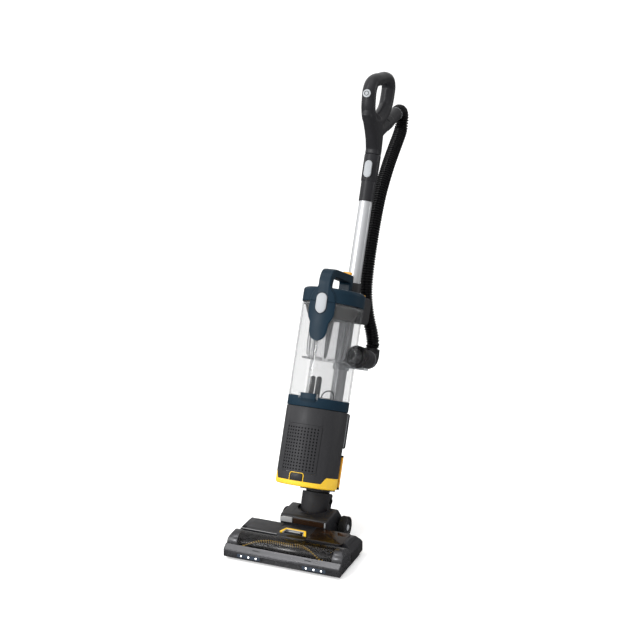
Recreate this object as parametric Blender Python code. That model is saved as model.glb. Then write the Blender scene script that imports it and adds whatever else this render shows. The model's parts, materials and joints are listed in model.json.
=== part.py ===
"""Upright bagless vacuum cleaner with a lift-off bin, a wand handle and a corrugated hose.

Lengths are in millimetres and become metres in solid(). Two frames are used:
- the head frame: X to the right, -Y to the front, Z up from the floor, Y = 0 at the recline hinge;
- the body frame: origin on the recline hinge, z up the machine's long axis, -y to its front,
  x to its right. Its empty leans the whole upper body back by RECLINE.
"""
import math

import bmesh
import bpy
from mathutils import Euler, Matrix, Vector

MM = 0.001
GAP = 0.3                      # clearance between pieces that touch
FINE, ROUND, SMALL = 40, 24, 16  # sides of large, middling and small round shapes
AIR_RADIUS = 12.0              # narrow stretches of the air way

# Floor head
HEAD_HALF_WIDTH = 147.5
HEAD_FRONT = -199.0
DECK_REAR = -48.0
DECK_TOP = 56.0
BUMPER_BACK = -183.5
SOLE_BOTTOM, SOLE_TOP = 4.0, 9.0
SOLE_REAR = -62.5
BRUSH_Y, BRUSH_Z = -152.0, 26.0
BRUSH_RADIUS = 25.0
BRUSH_CORE = 15.0
WINDOW_INNER, WINDOW_OUTER = 28.0, 31.0
WINDOW_HALF = 119.8
BELT_X = 110.0
BELT_WIDTH = 6.0
BRUSH_PULLEY, MOTOR_PULLEY = 12.0, 6.0
BELT_THICKNESS = 2.0
BRUSH_MOTOR_Y, BRUSH_MOTOR_Z = -88.0, 27.0
LED_INNER, LED_OUTER = 53.0, 113.0
ROLLER_X, ROLLER_Y, ROLLER_RADIUS = 100.0, -98.0, 5.0
HOUSING_HALF = 62.0
HOUSING_FRONT, HOUSING_REAR = -61.5, 44.0
HOUSING_TOP = 74.0
SLOT_HALF = 38.5
DUCT_LEFT, DUCT_RIGHT = -26.0, 14.0
DUCT_FLOOR, DUCT_ROOF = 14.0, 42.0

# Hinge, wheels and neck
PIVOT_Z = 34.4
RECLINE = math.radians(23.0)
PIN_RADIUS = 7.7
WHEEL_Y, WHEEL_RADIUS = 20.0, 27.0
WHEEL_INNER, WHEEL_OUTER = 66.0, 84.0
AXLE_RADIUS = 4.0
BARREL_RADIUS, BARREL_HALF = 29.0, 38.0
NECK_TOP = 74.0
NECK_BOX_HALF, NECK_BOX_REAR = 27.0, 40.0

# Upper body
POD_Y = -87.0
POD_RADIUS = 74.0
WALL = 3.0
BAND_BOTTOM, BAND_TOP, BAND_STEP = 88.0, 100.0, 116.0
BAND_RAMP = (math.radians(50.0), math.radians(58.0))
HOUSING_LID = 275.0
RING_TOP = 300.0
BIN_TOP = 527.0
LID_TOP = 563.0
LID_RADIUS = 75.5
CYCLONE_CLEAR, CYCLONE_FLANGE = 59.0, 56.0  # the cyclone lifts out past the inlet pipe
TOWER_BORE, TOWER_RADIUS, TOWER_TOP = 31.0, 34.0, 390.0
PLATE_INNER, PLATE_OUTER = 76.0, 80.0
TUBE_Y = 31.8
TUBE_RADIUS = 16.5
DOCK_BOTTOM, DOCK_TOP = 499.0, 564.0
SOCKET_TOP = 598.0
WAND_TOP = 850.0
COLLAR_BOTTOM, COLLAR_STEP, COLLAR_TOP = 806.0, 857.0, 925.0

# Hose and its fittings
INLET_X, INLET_Z = 50.0, 416.0
SPIGOT_RADIUS, SPIGOT_BORE = 17.0, 15.0
SPIGOT_END = 4.0
CUFF_FRONT, CUFF_BACK = -8.0, 78.0
CUFF_RADIUS, CUFF_RING = 23.5, 27.0
ELBOW_Y = 98.0
ELBOW_TOP = 446.0
HOSE_RADIUS = 17.5
OUTLET_START, OUTLET_END = (52.0, 995.0), (158.0, 1064.0)
OUTLET_RADIUS = 17.0
HOSE_ROUTE = (
    (0.0, 158.6, 1064.4), (0.0, 167.0, 1069.9), (0.0, 176.0, 1075.0), (0.0, 196.0, 1077.0), (-0.5, 211.0, 1064.0),
    (-1.0, 217.0, 1042.0), (-1.0, 209.0, 1018.0), (-1.0, 183.0, 972.0), (0.0, 154.0, 920.0),
    (2.0, 123.0, 850.0), (5.0, 104.0, 780.0), (8.5, 92.0, 705.0), (12.5, 85.0, 635.0),
    (18.0, 84.0, 580.0), (30.0, 87.0, 530.0), (44.0, 94.0, 488.0), (50.0, 97.6, 464.0),
    (50.0, 98.0, 455.0), (50.0, 98.0, 446.6),
)

FINISHES = {                   # colour, roughness, metallic, alpha
    "charcoal": ((0.045, 0.045, 0.050), 0.45, 0.0, 1.0),
    "black": ((0.012, 0.012, 0.013), 0.55, 0.0, 1.0),
    "navy": ((0.018, 0.034, 0.056), 0.38, 0.0, 1.0),
    "yellow": ((0.72, 0.43, 0.02), 0.40, 0.0, 1.0),
    "orange": ((0.75, 0.30, 0.02), 0.40, 0.0, 1.0),
    "light_grey": ((0.55, 0.58, 0.60), 0.45, 0.0, 1.0),
    "gunmetal": ((0.14, 0.14, 0.15), 0.35, 0.9, 1.0),
    "aluminium": ((0.72, 0.73, 0.75), 0.30, 1.0, 1.0),
    "smoked": ((0.05, 0.035, 0.02), 0.12, 0.0, 0.55),
    "clear": ((0.85, 0.87, 0.88), 0.05, 0.0, 0.30),
    "lens": ((0.55, 0.65, 0.80), 0.20, 0.0, 1.0),
    "rubber": ((0.02, 0.02, 0.02), 0.80, 0.0, 1.0),
    "foam": ((0.30, 0.32, 0.34), 0.95, 0.0, 1.0),
    "bristle": ((0.10, 0.06, 0.03), 0.80, 0.0, 1.0),
    "steel": ((0.55, 0.55, 0.56), 0.35, 1.0, 1.0),
}


# ---------------------------------------------------------------- helpers

def clear_scene():
    for obj in list(bpy.data.objects):
        bpy.data.objects.remove(obj)


def finish(name):
    material = bpy.data.materials.get(name)
    if material:
        return material
    colour, roughness, metallic, alpha = FINISHES[name]
    material = bpy.data.materials.new(name)
    material.use_nodes = True
    shader = material.node_tree.nodes["Principled BSDF"]
    shader.inputs["Base Color"].default_value = (*colour, 1.0)
    shader.inputs["Roughness"].default_value = roughness
    shader.inputs["Metallic"].default_value = metallic
    shader.inputs["Alpha"].default_value = alpha
    return material


def frame_empty(name, parent=None, location=(0, 0, 0), lean=0.0):
    empty = bpy.data.objects.new(name, None)
    bpy.context.collection.objects.link(empty)
    empty.location = Vector(location) * MM
    empty.rotation_euler = Euler((lean, 0, 0))
    empty.parent = parent
    return empty


def solid(name, shape, look, parent, origin=(0, 0, 0), bevel=0.0, steps=1):
    """Turn a bmesh in millimetres into a named object whose origin is at the given point."""
    shape.transform(Matrix.Scale(MM, 4) @ Matrix.Translation(-Vector(origin)))
    bmesh.ops.recalc_face_normals(shape, faces=shape.faces)
    mesh = bpy.data.meshes.new(name)
    shape.to_mesh(mesh)
    shape.free()
    mesh.materials.append(finish(look))
    mesh.shade_smooth()
    mesh.set_sharp_from_angle(angle=math.radians(35))
    obj = bpy.data.objects.new(name, mesh)
    bpy.context.collection.objects.link(obj)
    obj.location = Vector(origin) * MM
    obj.parent = parent
    if bevel:
        edge = obj.modifiers.new("rounded_edges", "BEVEL")
        edge.width = bevel * MM
        edge.segments = steps
        edge.limit_method = "ANGLE"
        edge.angle_limit = math.radians(40)
    return obj


def combine(obj, shapes, operation, bevel=0.0, steps=1):
    """Cut shapes from obj, or join them to it, with hidden tool objects."""
    for number, shape in enumerate(shapes):
        tool = solid(f"{operation.lower()}_{obj.name}_{number}", shape, "black", obj.parent,
                     bevel=bevel, steps=steps)
        tool.hide_render = True
        tool.display_type = "WIRE"
        modifier = obj.modifiers.new(tool.name, "BOOLEAN")
        modifier.operation = operation
        modifier.solver = "EXACT"
        modifier.object = tool
    return obj


def cut(obj, *shapes, **edges):
    return combine(obj, shapes, "DIFFERENCE", **edges)


def join(obj, *shapes, **edges):
    return combine(obj, shapes, "UNION", **edges)


def loft(rings, closed=False):
    """Skin a list of rings with equal point counts; the ends are capped unless the loft is closed."""
    shape = bmesh.new()
    rows = [[shape.verts.new(point) for point in ring] for ring in rings]
    count = len(rows[0])
    pairs = list(zip(rows, rows[1:]))
    if closed:
        pairs.append((rows[-1], rows[0]))
    for low, high in pairs:
        for i in range(count):
            j = (i + 1) % count
            shape.faces.new((low[i], low[j], high[j], high[i]))
    if not closed:
        shape.faces.new(rows[0])
        shape.faces.new(rows[-1])
    return shape


def box(x0, x1, y0, y1, z0, z1):
    corners = ((x0, y0), (x1, y0), (x1, y1), (x0, y1))
    return loft([[(x, y, z) for x, y in corners] for z in (z0, z1)])


def prism_x(outline, x0, x1):
    """Extrude a (y, z) outline along x."""
    return loft([[(x, y, z) for y, z in outline] for x in (x0, x1)])


def prism_z(outline, z0, z1):
    """Extrude an (x, y) outline along z."""
    return loft([[(x, y, z) for x, y in outline] for z in (z0, z1)])


def circle(radius, count=ROUND):
    return [(radius * math.cos(math.tau * i / count), radius * math.sin(math.tau * i / count))
            for i in range(count)]


def arc(centre, radius, first, last, count):
    """Points on a circle from one angle to another, in degrees."""
    angles = [math.radians(first + (last - first) * i / (count - 1)) for i in range(count)]
    return [(centre[0] + radius * math.cos(a), centre[1] + radius * math.sin(a)) for a in angles]


def rod_x(x0, x1, y, z, radius, count=ROUND):
    return loft([[(x, y + a, z + b) for a, b in circle(radius, count)] for x in (x0, x1)])


def rod_y(y0, y1, x, z, radius, count=ROUND):
    return loft([[(x + a, y, z + b) for a, b in circle(radius, count)] for y in (y0, y1)])


def rod_z(z0, z1, x, y, radius, count=ROUND):
    return loft([[(x + a, y + b, z) for a, b in circle(radius, count)] for z in (z0, z1)])


def rod_between(start, end, radius, count=ROUND, radius_end=None):
    """A round bar or cone between two points."""
    start, end = Vector(start), Vector(end)
    turn = (end - start).to_track_quat("Z", "Y")
    rings = []
    for point, size in ((start, radius), (end, radius_end or radius)):
        rings.append([point + turn @ Vector((a, b, 0)) for a, b in circle(size, count)])
    return loft(rings)


def turned_x(profile, y, z, count=ROUND):
    """Turn a closed (x, r) profile about a line along x."""
    return loft([[(x, y + r * math.cos(a), z + r * math.sin(a)) for x, r in profile]
                 for a in (math.tau * i / count for i in range(count))], closed=True)


def turned_z(profile, x=0.0, y=0.0, count=ROUND):
    """Turn a closed (r, z) profile about a line along z."""
    return loft([[(x + r * math.cos(a), y + r * math.sin(a), z) for r, z in profile]
                 for a in (math.tau * i / count for i in range(count))], closed=True)


def curved_plate(inner, outer, half_angle, z0, z1, count=13, centre_y=POD_Y):
    """A plate bent round the pod's axis, centred on its front."""
    first, last = -90 - half_angle, -90 + half_angle
    outline = arc((0, centre_y), outer, first, last, count) + arc((0, centre_y), inner, last, first, count)
    return prism_z(outline, z0, z1)


def smooth_path(points, spans, closed=False):
    """Catmull-Rom points through the given ones."""
    points = [Vector(p) for p in points]
    count = len(points)
    if not closed:
        points = [2 * points[0] - points[1]] + points + [2 * points[-1] - points[-2]]
    path = []
    for i in range(count if closed else count - 1):
        if closed:
            a, b, c, d = (points[(i + k) % count] for k in (-1, 0, 1, 2))
        else:
            a, b, c, d = points[i:i + 4]
        for step in range(spans):
            t = step / spans
            path.append(0.5 * (2 * b + (c - a) * t + (2 * a - 5 * b + 4 * c - d) * t ** 2
                               + (3 * b - a - 3 * c + d) * t ** 3))
    if not closed:
        path.append(points[-2])
    return path


def loop_tube(path, half_x, half_in_plane, count=12):
    """A closed tube of oval section along a closed path in a y-z plane."""
    rings = []
    for i, point in enumerate(path):
        along = (path[(i + 1) % len(path)] - path[i - 1]).normalized()
        across = Vector((0, -along.z, along.y))
        rings.append([point + Vector((half_x * math.cos(a), 0, 0)) + across * half_in_plane * math.sin(a)
                      for a in (math.tau * k / count for k in range(count))])
    return loft(rings, closed=True)


def oval_column(stations, count=ROUND):
    """A column of ovals; each station is z, centre y, half x, half y."""
    return loft([[(hx * a, cy + hy * b, z) for a, b in circle(1.0, count)] for z, cy, hx, hy in stations])


def pill(half_width, z0, z1, y0, y1, count=7):
    """An upright pill-shaped button, extruded along y."""
    low, high = z0 + half_width, z1 - half_width
    outline = arc((0, high), half_width, 0, 180, count) + arc((0, low), half_width, 180, 360, count)
    return loft([[(x, y, z) for x, z in outline] for y in (y0, y1)])


# ---------------------------------------------------------------- floor head

def sole_plate(head):
    obj = solid("sole_plate", box(-146, 146, BUMPER_BACK + GAP, SOLE_REAR, SOLE_BOTTOM, SOLE_TOP), "black", head)
    runners = [box(side * 70 - 12, side * 70 + 12, -118, -68, 0, SOLE_BOTTOM + 1) for side in (-1, 1)]
    join(obj, *runners)
    opening = box(-118, 118, -180, -124, 0, 12)
    pockets = []
    for side in (-1, 1):
        x = side * ROLLER_X
        pockets.append(box(x - 8, x + 8, ROLLER_Y - 6, ROLLER_Y + 6, 0, 12))
        pockets.append(box(x - 11.5, x + 11.5, ROLLER_Y - 2.2, ROLLER_Y + 2.2, 2, 12))
    cut(obj, opening, *pockets)


def bumper(head):
    back, front = BUMPER_BACK, HEAD_FRONT
    outline = [(back, 6), (front + 4, 5), (front, 11), (front, 22), (front + 3, 26), (back - 1, 35), (back, 35)]
    half = HEAD_HALF_WIDTH
    obj = solid("bumper", prism_x(outline, -half, half), "gunmetal", head, bevel=2.0, steps=2)
    for side in (-1, 1):
        near, far = sorted((side * LED_INNER, side * LED_OUTER))
        cut(obj, box(near, far, front - 2, front + 4, 10, 20))
        name = "led_lens_left" if side < 0 else "led_lens_right"
        solid(name, box(near + GAP, far - GAP, front + 0.2, front + 4 - GAP, 10 + GAP, 20 - GAP), "lens", head)


def end_caps(head):
    centre = (BRUSH_Y, BRUSH_Z)
    outline = arc(centre, WINDOW_OUTER, 180, 0, 17) + [(BRUSH_Y + WINDOW_OUTER, SOLE_TOP + GAP),
                                                       (BRUSH_Y - WINDOW_OUTER, SOLE_TOP + GAP)]
    for side, name in ((-1, "end_cap_left"), (1, "end_cap_right")):
        near, far = sorted((side * (WINDOW_HALF + 0.5), side * (HEAD_HALF_WIDTH - 0.3)))
        obj = solid(name, prism_x(outline, near, far), "gunmetal", head)
        inner = side * (WINDOW_HALF + 0.5)
        low, high = sorted((inner - side * 2, inner + side * 10))
        cut(obj, rod_x(low, high, BRUSH_Y, BRUSH_Z, 4.6, SMALL))


def head_cover(head):
    front, rear = -134.5, DECK_REAR
    half = HEAD_HALF_WIDTH
    low = SOLE_TOP + GAP
    side_view = [(front, low), (rear, low), (rear, 30), (rear - 4, 40), (rear - 16, DECK_TOP - 4),
                 (-90, DECK_TOP), (front, DECK_TOP)]
    obj = solid("head_cover", prism_x(side_view, -half, half), "charcoal", head)
    for side in (-1, 1):
        wedge = [(side * (half + 5), 27), (side * (half - 18), DECK_TOP + 4), (side * (half + 5), DECK_TOP + 4)]
        cut(obj, loft([[(x, y, z) for x, z in wedge] for y in (front - 5, rear + 5)]))
    corners = []
    for side in (-1, 1):
        near, far = sorted((side * (WINDOW_HALF + 0.1), side * (half + 5)))
        corners.append(box(near, far, front - 5, BRUSH_Y + WINDOW_OUTER + 0.8, 0, 80))
    chamber = rod_x(-WINDOW_HALF - 3, WINDOW_HALF + 3, BRUSH_Y, BRUSH_Z, WINDOW_OUTER + GAP, FINE)
    cavity = box(-138, 138, -114, -66, 0, 48)
    belt_slot = box(BELT_X - 5, BELT_X + 5, -130, -100, 0, 43)
    bay = box(-HOUSING_HALF - GAP, HOUSING_HALF + GAP, HOUSING_FRONT - GAP, rear + 5, 0, 80)
    air_way = box(DUCT_LEFT, DUCT_RIGHT, -130, HOUSING_FRONT + 3, DUCT_FLOOR, DUCT_ROOF)
    cut(obj, *corners, chamber, cavity, belt_slot, bay, air_way)


def rear_housing(head):
    low = 6.0
    outline = [(HOUSING_FRONT, low), (HOUSING_REAR - 8, low), (HOUSING_REAR, 16), (HOUSING_REAR, 38),
               (HOUSING_REAR - 30, HOUSING_TOP), (HOUSING_FRONT + 6, HOUSING_TOP), (HOUSING_FRONT, HOUSING_TOP - 6)]
    obj = solid("rear_housing", prism_x(outline, -HOUSING_HALF, HOUSING_HALF), "charcoal", head,
                bevel=4.0, steps=2)
    slot = box(-SLOT_HALF, SLOT_HALF, -33, HOUSING_REAR + 5, 0, 80)
    duct = box(DUCT_LEFT, DUCT_RIGHT, HOUSING_FRONT - 3, -30, DUCT_FLOOR, DUCT_ROOF)
    pins = rod_x(-HOUSING_HALF - 3, HOUSING_HALF + 3, 0, PIVOT_Z, PIN_RADIUS + GAP, SMALL)
    axles = [rod_x(side * 64 - 18, side * 64 + 18, WHEEL_Y, WHEEL_RADIUS, AXLE_RADIUS + GAP, SMALL)
             for side in (-1, 1)]
    cut(obj, slot, duct, pins, *axles)
    cover = box(-26, 54, HOUSING_FRONT - 3, HOUSING_FRONT - GAP - 0.2, DECK_TOP + 0.5, HOUSING_TOP - 6)
    solid("inspection_cover", cover, "smoked", head)
    for side, name in ((-1, "left"), (1, "right")):
        near, far = sorted((side * 31, side * 60))
        solid(f"pivot_pin_{name}", rod_x(near, far, 0, PIVOT_Z, PIN_RADIUS, SMALL), "steel", head)
        near, far = sorted((side * 47, side * 80))
        solid(f"wheel_axle_{name}", rod_x(near, far, WHEEL_Y, WHEEL_RADIUS, AXLE_RADIUS, SMALL), "steel", head)


def wheels(head):
    for side, name in ((-1, "left"), (1, "right")):
        centre = (side * (WHEEL_INNER + WHEEL_OUTER) / 2, WHEEL_Y, WHEEL_RADIUS)
        tyre = [(WHEEL_INNER + 2, 21.3), (WHEEL_INNER, 23), (WHEEL_INNER, 25), (WHEEL_INNER + 2.5, 27),
                (WHEEL_OUTER - 2.5, 27), (WHEEL_OUTER, 25), (WHEEL_OUTER, 23), (WHEEL_OUTER - 2, 21.3)]
        hub = [(WHEEL_INNER + 1, 4.4), (WHEEL_INNER + 1, 12), (WHEEL_INNER + 5, 14), (WHEEL_INNER + 3, 21),
               (WHEEL_OUTER - 3, 21), (WHEEL_OUTER - 1, 14), (WHEEL_OUTER - 0.5, 4.4)]
        solid(f"wheel_tyre_{name}", turned_x([(side * x, r) for x, r in tyre], WHEEL_Y, WHEEL_RADIUS),
              "rubber", head, centre)
        solid(f"wheel_hub_{name}", turned_x([(side * x, r) for x, r in hub], WHEEL_Y, WHEEL_RADIUS),
              "charcoal", head, centre)


def brush_drive(head):
    axis = (0, BRUSH_Y, BRUSH_Z)
    tip = WINDOW_HALF + 8
    half_belt = BELT_WIDTH / 2 + 1
    profile = [(-tip, 0.5), (-tip, 4), (-116, 4), (-116, BRUSH_CORE), (102, BRUSH_CORE), (102, 8),
               (BELT_X - half_belt, 8), (BELT_X - half_belt, BRUSH_PULLEY), (BELT_X + half_belt, BRUSH_PULLEY),
               (BELT_X + half_belt, 4), (tip, 4), (tip, 0.5)]
    roll = solid("brush_roll", turned_x(profile, BRUSH_Y, BRUSH_Z, SMALL), "bristle", head, axis)
    for start in (0.55 * math.pi, 1.55 * math.pi):
        rings = []
        for i in range(15):
            x = -112 + 210 * i / 14
            turn = start + 0.5 * math.pi * abs(x + 7) / 105
            ring = []
            for r, spread in ((BRUSH_CORE - 3, 0.16), (BRUSH_RADIUS, 0.07), (BRUSH_RADIUS, -0.07),
                              (BRUSH_CORE - 3, -0.16)):
                ring.append((x, BRUSH_Y + r * math.cos(turn + spread), BRUSH_Z + r * math.sin(turn + spread)))
            rings.append(ring)
        join(roll, loft(rings))

    window = arc((BRUSH_Y, BRUSH_Z), WINDOW_OUTER, 162, 58, 13) + arc((BRUSH_Y, BRUSH_Z), WINDOW_INNER, 58, 162, 13)
    solid("brush_window", prism_x(window, -WINDOW_HALF, WINDOW_HALF), "smoked", head)
    latch = box(-34, 34, -121, -104, DECK_TOP + GAP, DECK_TOP + 5)
    solid("window_latch", latch, "yellow", head, (0, -112, DECK_TOP), bevel=1.5)

    motor = rod_x(22, 102, BRUSH_MOTOR_Y, BRUSH_MOTOR_Z, 15)
    cut(solid("brush_motor", motor, "steel", head),
        rod_x(90, 104, BRUSH_MOTOR_Y, BRUSH_MOTOR_Z, 3.5, SMALL))
    pulley = [(95, 0.5), (95, 3), (BELT_X - half_belt, 3), (BELT_X - half_belt, MOTOR_PULLEY),
              (BELT_X + half_belt, MOTOR_PULLEY), (BELT_X + half_belt, 0.5)]
    solid("motor_pulley", turned_x(pulley, BRUSH_MOTOR_Y, BRUSH_MOTOR_Z, SMALL), "steel", head,
          (BELT_X, BRUSH_MOTOR_Y, BRUSH_MOTOR_Z))
    drive_belt(head)


def drive_belt(head):
    """A flat belt: two arcs joined by straight runs that are tangent to both pulleys."""
    apart = math.hypot(BRUSH_MOTOR_Y - BRUSH_Y, BRUSH_MOTOR_Z - BRUSH_Z)
    tilt = math.degrees(math.atan2(BRUSH_MOTOR_Z - BRUSH_Z, BRUSH_MOTOR_Y - BRUSH_Y))
    lean = math.degrees(math.asin((BRUSH_PULLEY - MOTOR_PULLEY) / apart))
    loops = []
    for extra in (GAP, GAP + BELT_THICKNESS):
        big = arc((BRUSH_Y, BRUSH_Z), BRUSH_PULLEY + extra, tilt + 90 - lean, tilt + 270 + lean, 13)
        small = arc((BRUSH_MOTOR_Y, BRUSH_MOTOR_Z), MOTOR_PULLEY + extra, tilt + 270 + lean, tilt + 450 - lean, 9)
        loops.append(big + small)
    inner, outer = loops
    left, right = BELT_X - BELT_WIDTH / 2, BELT_X + BELT_WIDTH / 2
    rings = [[(left, *p), (right, *p), (right, *q), (left, *q)] for p, q in zip(inner, outer)]
    solid("drive_belt", loft(rings, closed=True), "rubber", head)


def front_rollers(head):
    for side, name in ((-1, "left"), (1, "right")):
        x = side * ROLLER_X
        profile = [(x - 11, 0.4), (x - 11, 1.6), (x - 7, 1.6), (x - 7, ROLLER_RADIUS),
                   (x + 7, ROLLER_RADIUS), (x + 7, 1.6), (x + 11, 1.6), (x + 11, 0.4)]
        solid(f"front_roller_{name}", turned_x(profile, ROLLER_Y, ROLLER_RADIUS, 12), "rubber", head,
              (x, ROLLER_Y, ROLLER_RADIUS))


# ---------------------------------------------------------------- neck and spine

def neck(body):
    column = oval_column([(6, 0, 34, 26), (30, 0, 33, 28), (NECK_TOP, 0, 29, 29)])
    obj = solid("neck", rod_x(-BARREL_HALF, BARREL_HALF, 0, 0, BARREL_RADIUS), "charcoal", body)
    join(obj, column)
    join(obj, box(-NECK_BOX_HALF, NECK_BOX_HALF, 5, NECK_BOX_REAR, 32, NECK_TOP), bevel=5.0, steps=2)
    pins = rod_x(-BARREL_HALF - 3, BARREL_HALF + 3, 0, 0, PIN_RADIUS + 2 * GAP, SMALL)
    mouth = box(-18, 18, -BARREL_RADIUS - 3, 0, -14, 8)
    cut(obj, rod_z(0, NECK_TOP + 3, 0, 0, 18), mouth, pins)
    gland = solid("cord_gland", rod_x(NECK_BOX_HALF + GAP, NECK_BOX_HALF + 4, 24, 56, 6.5, SMALL), "rubber", body)
    cut(gland, rod_x(NECK_BOX_HALF + 1.5, NECK_BOX_HALF + 6, 24, 56, 3.4, SMALL))


def spine(body):
    collar = [(18, NECK_TOP + GAP), (28.5, NECK_TOP + GAP), (29.5, 77), (29.5, 80), (18, 80)]
    solid("swivel_collar", turned_z(collar), "black", body)

    obj = solid("spine_base", box(-30, 30, -46, 40, 80 + GAP, BAND_BOTTOM - GAP), "charcoal", body)
    column = box(-30, 30, POD_Y + POD_RADIUS + 1.0, 40, 82, HOUSING_LID)
    join(obj, column, bevel=3.0, steps=2)
    cut(obj, rod_z(78, 90, 0, 0, 18), rod_between((0, 0, 84), (0, 27, HOUSING_LID + 3), AIR_RADIUS - 1.5))

    solid("spine_heel", box(-35.5, 35.5, 40 + GAP, 54, 86, 171), "yellow", body, bevel=3.0, steps=2)
    solid("rear_cover", box(-34, 34, 40 + GAP, 60, 188, HOUSING_LID), "charcoal", body, bevel=4.0, steps=2)

    tube = [(TUBE_RADIUS - 1.5, HOUSING_LID + GAP), (TUBE_RADIUS, HOUSING_LID + GAP),
            (TUBE_RADIUS, DOCK_BOTTOM - GAP), (TUBE_RADIUS - 1.5, DOCK_BOTTOM - GAP)]
    solid("spine_tube", turned_z(tube, 0, TUBE_Y), "aluminium", body)
    dock_head(body)
    hose_fittings(body)


def dock_head(body):
    front, rear = POD_Y + LID_RADIUS + 1.0, 52.0
    outline = [(front, DOCK_BOTTOM), (rear - 8, DOCK_BOTTOM), (rear, DOCK_BOTTOM + 10), (rear, DOCK_TOP - 12),
               (rear - 10, DOCK_TOP), (front, DOCK_TOP)]
    obj = solid("dock_head", prism_x(outline, -24, 48), "charcoal", body, bevel=3.0, steps=2)
    join(obj, rod_z(DOCK_TOP - 4, SOCKET_TOP, 0, TUBE_Y, 20.0))
    bore = rod_z(DOCK_BOTTOM + 17, SOCKET_TOP + 4, 0, TUBE_Y, TUBE_RADIUS + GAP)
    pocket = box(23.5, 46.5, -8, 8, DOCK_TOP - 6, DOCK_TOP + 5)
    cut(obj, bore, rod_z(DOCK_BOTTOM - 3, DOCK_BOTTOM + 20, 0, TUBE_Y, AIR_RADIUS, SMALL), pocket)
    bar = box(24, 46, -7.5, 7.5, DOCK_TOP - 3, DOCK_TOP + 5)
    solid("wand_release_bar", bar, "orange", body, (35, 0, DOCK_TOP), bevel=1.5)


def hose_fittings(body):
    bore = SPIGOT_RADIUS + 0.5
    profile = [(CUFF_FRONT, bore), (CUFF_FRONT, CUFF_RING), (1, CUFF_RING), (3, CUFF_RADIUS),
               (CUFF_BACK, CUFF_RADIUS), (CUFF_BACK, bore)]
    rings = [[(INLET_X + r * math.cos(a), y, INLET_Z + r * math.sin(a)) for y, r in profile]
             for a in (math.tau * i / ROUND for i in range(ROUND))]
    solid("hose_cuff", loft(rings, closed=True), "charcoal", body)

    elbow = rod_y(CUFF_BACK + GAP, ELBOW_Y, INLET_X, INLET_Z, 23)
    obj = solid("hose_elbow", elbow, "black", body)
    ball = bmesh.new()
    bmesh.ops.create_uvsphere(ball, u_segments=20, v_segments=10, radius=22.9)
    bmesh.ops.translate(ball, verts=ball.verts, vec=(INLET_X, ELBOW_Y, INLET_Z))
    join(obj, ball, rod_z(INLET_Z, ELBOW_TOP, INLET_X, ELBOW_Y, 20))
    cut(obj, rod_y(CUFF_BACK - 5, ELBOW_Y, INLET_X, INLET_Z, 15, SMALL),
        rod_z(INLET_Z, ELBOW_TOP + 5, INLET_X, ELBOW_Y, 15, SMALL))

    clamp = [(TUBE_RADIUS + GAP, 380), (TUBE_RADIUS + 4, 380), (TUBE_RADIUS + 4, 396), (TUBE_RADIUS + GAP, 396)]
    obj = solid("cuff_cradle", turned_z(clamp, 0, TUBE_Y), "light_grey", body)
    join(obj, box(TUBE_RADIUS + 2, 66, 16, 48, 387, INLET_Z - CUFF_RADIUS - GAP))


# ---------------------------------------------------------------- pod

def band_height(angle):
    """Top of the yellow band: low across the front, higher round the sides and back."""
    from_front = abs(math.remainder(angle + math.pi / 2, math.tau))
    share = (from_front - BAND_RAMP[0]) / (BAND_RAMP[1] - BAND_RAMP[0])
    return BAND_TOP + (BAND_STEP - BAND_TOP) * min(max(share, 0.0), 1.0)


def turned_pod(profile_at, count=FINE):
    """Turn a closed profile, which may change with the angle, about the pod's axis."""
    rings = []
    for i in range(count):
        a = math.tau * i / count
        rings.append([(r * math.cos(a), POD_Y + r * math.sin(a), z) for r, z in profile_at(a)])
    return loft(rings, closed=True)


def motor_unit(body):
    inner = POD_RADIUS - WALL

    def housing_profile(angle):
        low = band_height(angle) + GAP
        return [(inner, low), (POD_RADIUS, low), (POD_RADIUS, HOUSING_LID - 1.5), (POD_RADIUS - 1.5, HOUSING_LID),
                (24, HOUSING_LID), (24, HOUSING_LID - 4), (inner, HOUSING_LID - 4)]

    def band_profile(angle):
        high = band_height(angle)
        return [(18, BAND_BOTTOM), (POD_RADIUS - 5, BAND_BOTTOM), (POD_RADIUS, BAND_BOTTOM + 5), (POD_RADIUS, high),
                (inner, high), (inner, BAND_BOTTOM + 8), (inner - 4, BAND_BOTTOM + 4), (18, BAND_BOTTOM + 4)]

    housing = solid("motor_housing", turned_pod(housing_profile), "charcoal", body)
    cut(housing, curved_plate(inner - 5, POD_RADIUS + 5, 36.5, 119.5, 234.5),
        curved_plate(inner - 5, POD_RADIUS + 5, 13.5, 101.5, 117.5))
    solid("base_band", turned_pod(band_profile), "yellow", body)
    solid("filter_door", curved_plate(inner, POD_RADIUS + 0.8, 36, 120, 234, 15), "charcoal", body)
    latch = curved_plate(inner, POD_RADIUS + 2, 12, 102, 117, 7)
    solid("door_latch", latch, "yellow", body, (0, POD_Y - POD_RADIUS, 110))
    solid("exhaust_filter", curved_plate(60, inner - 1, 32, 126, 228, 9), "foam", body)

    can = [(6, 130), (48, 130), (50, 134), (50, 196), (44, 202), (6, 202)]
    solid("suction_motor", turned_z(can, 0, POD_Y), "steel", body)
    fan = [(0.5, 150), (4.5, 150), (4.5, 206), (44, 206), (44, 210), (20, 224), (0.5, 228)]
    solid("impeller", turned_z(fan, 0, POD_Y), "light_grey", body, (0, POD_Y, 206))


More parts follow.
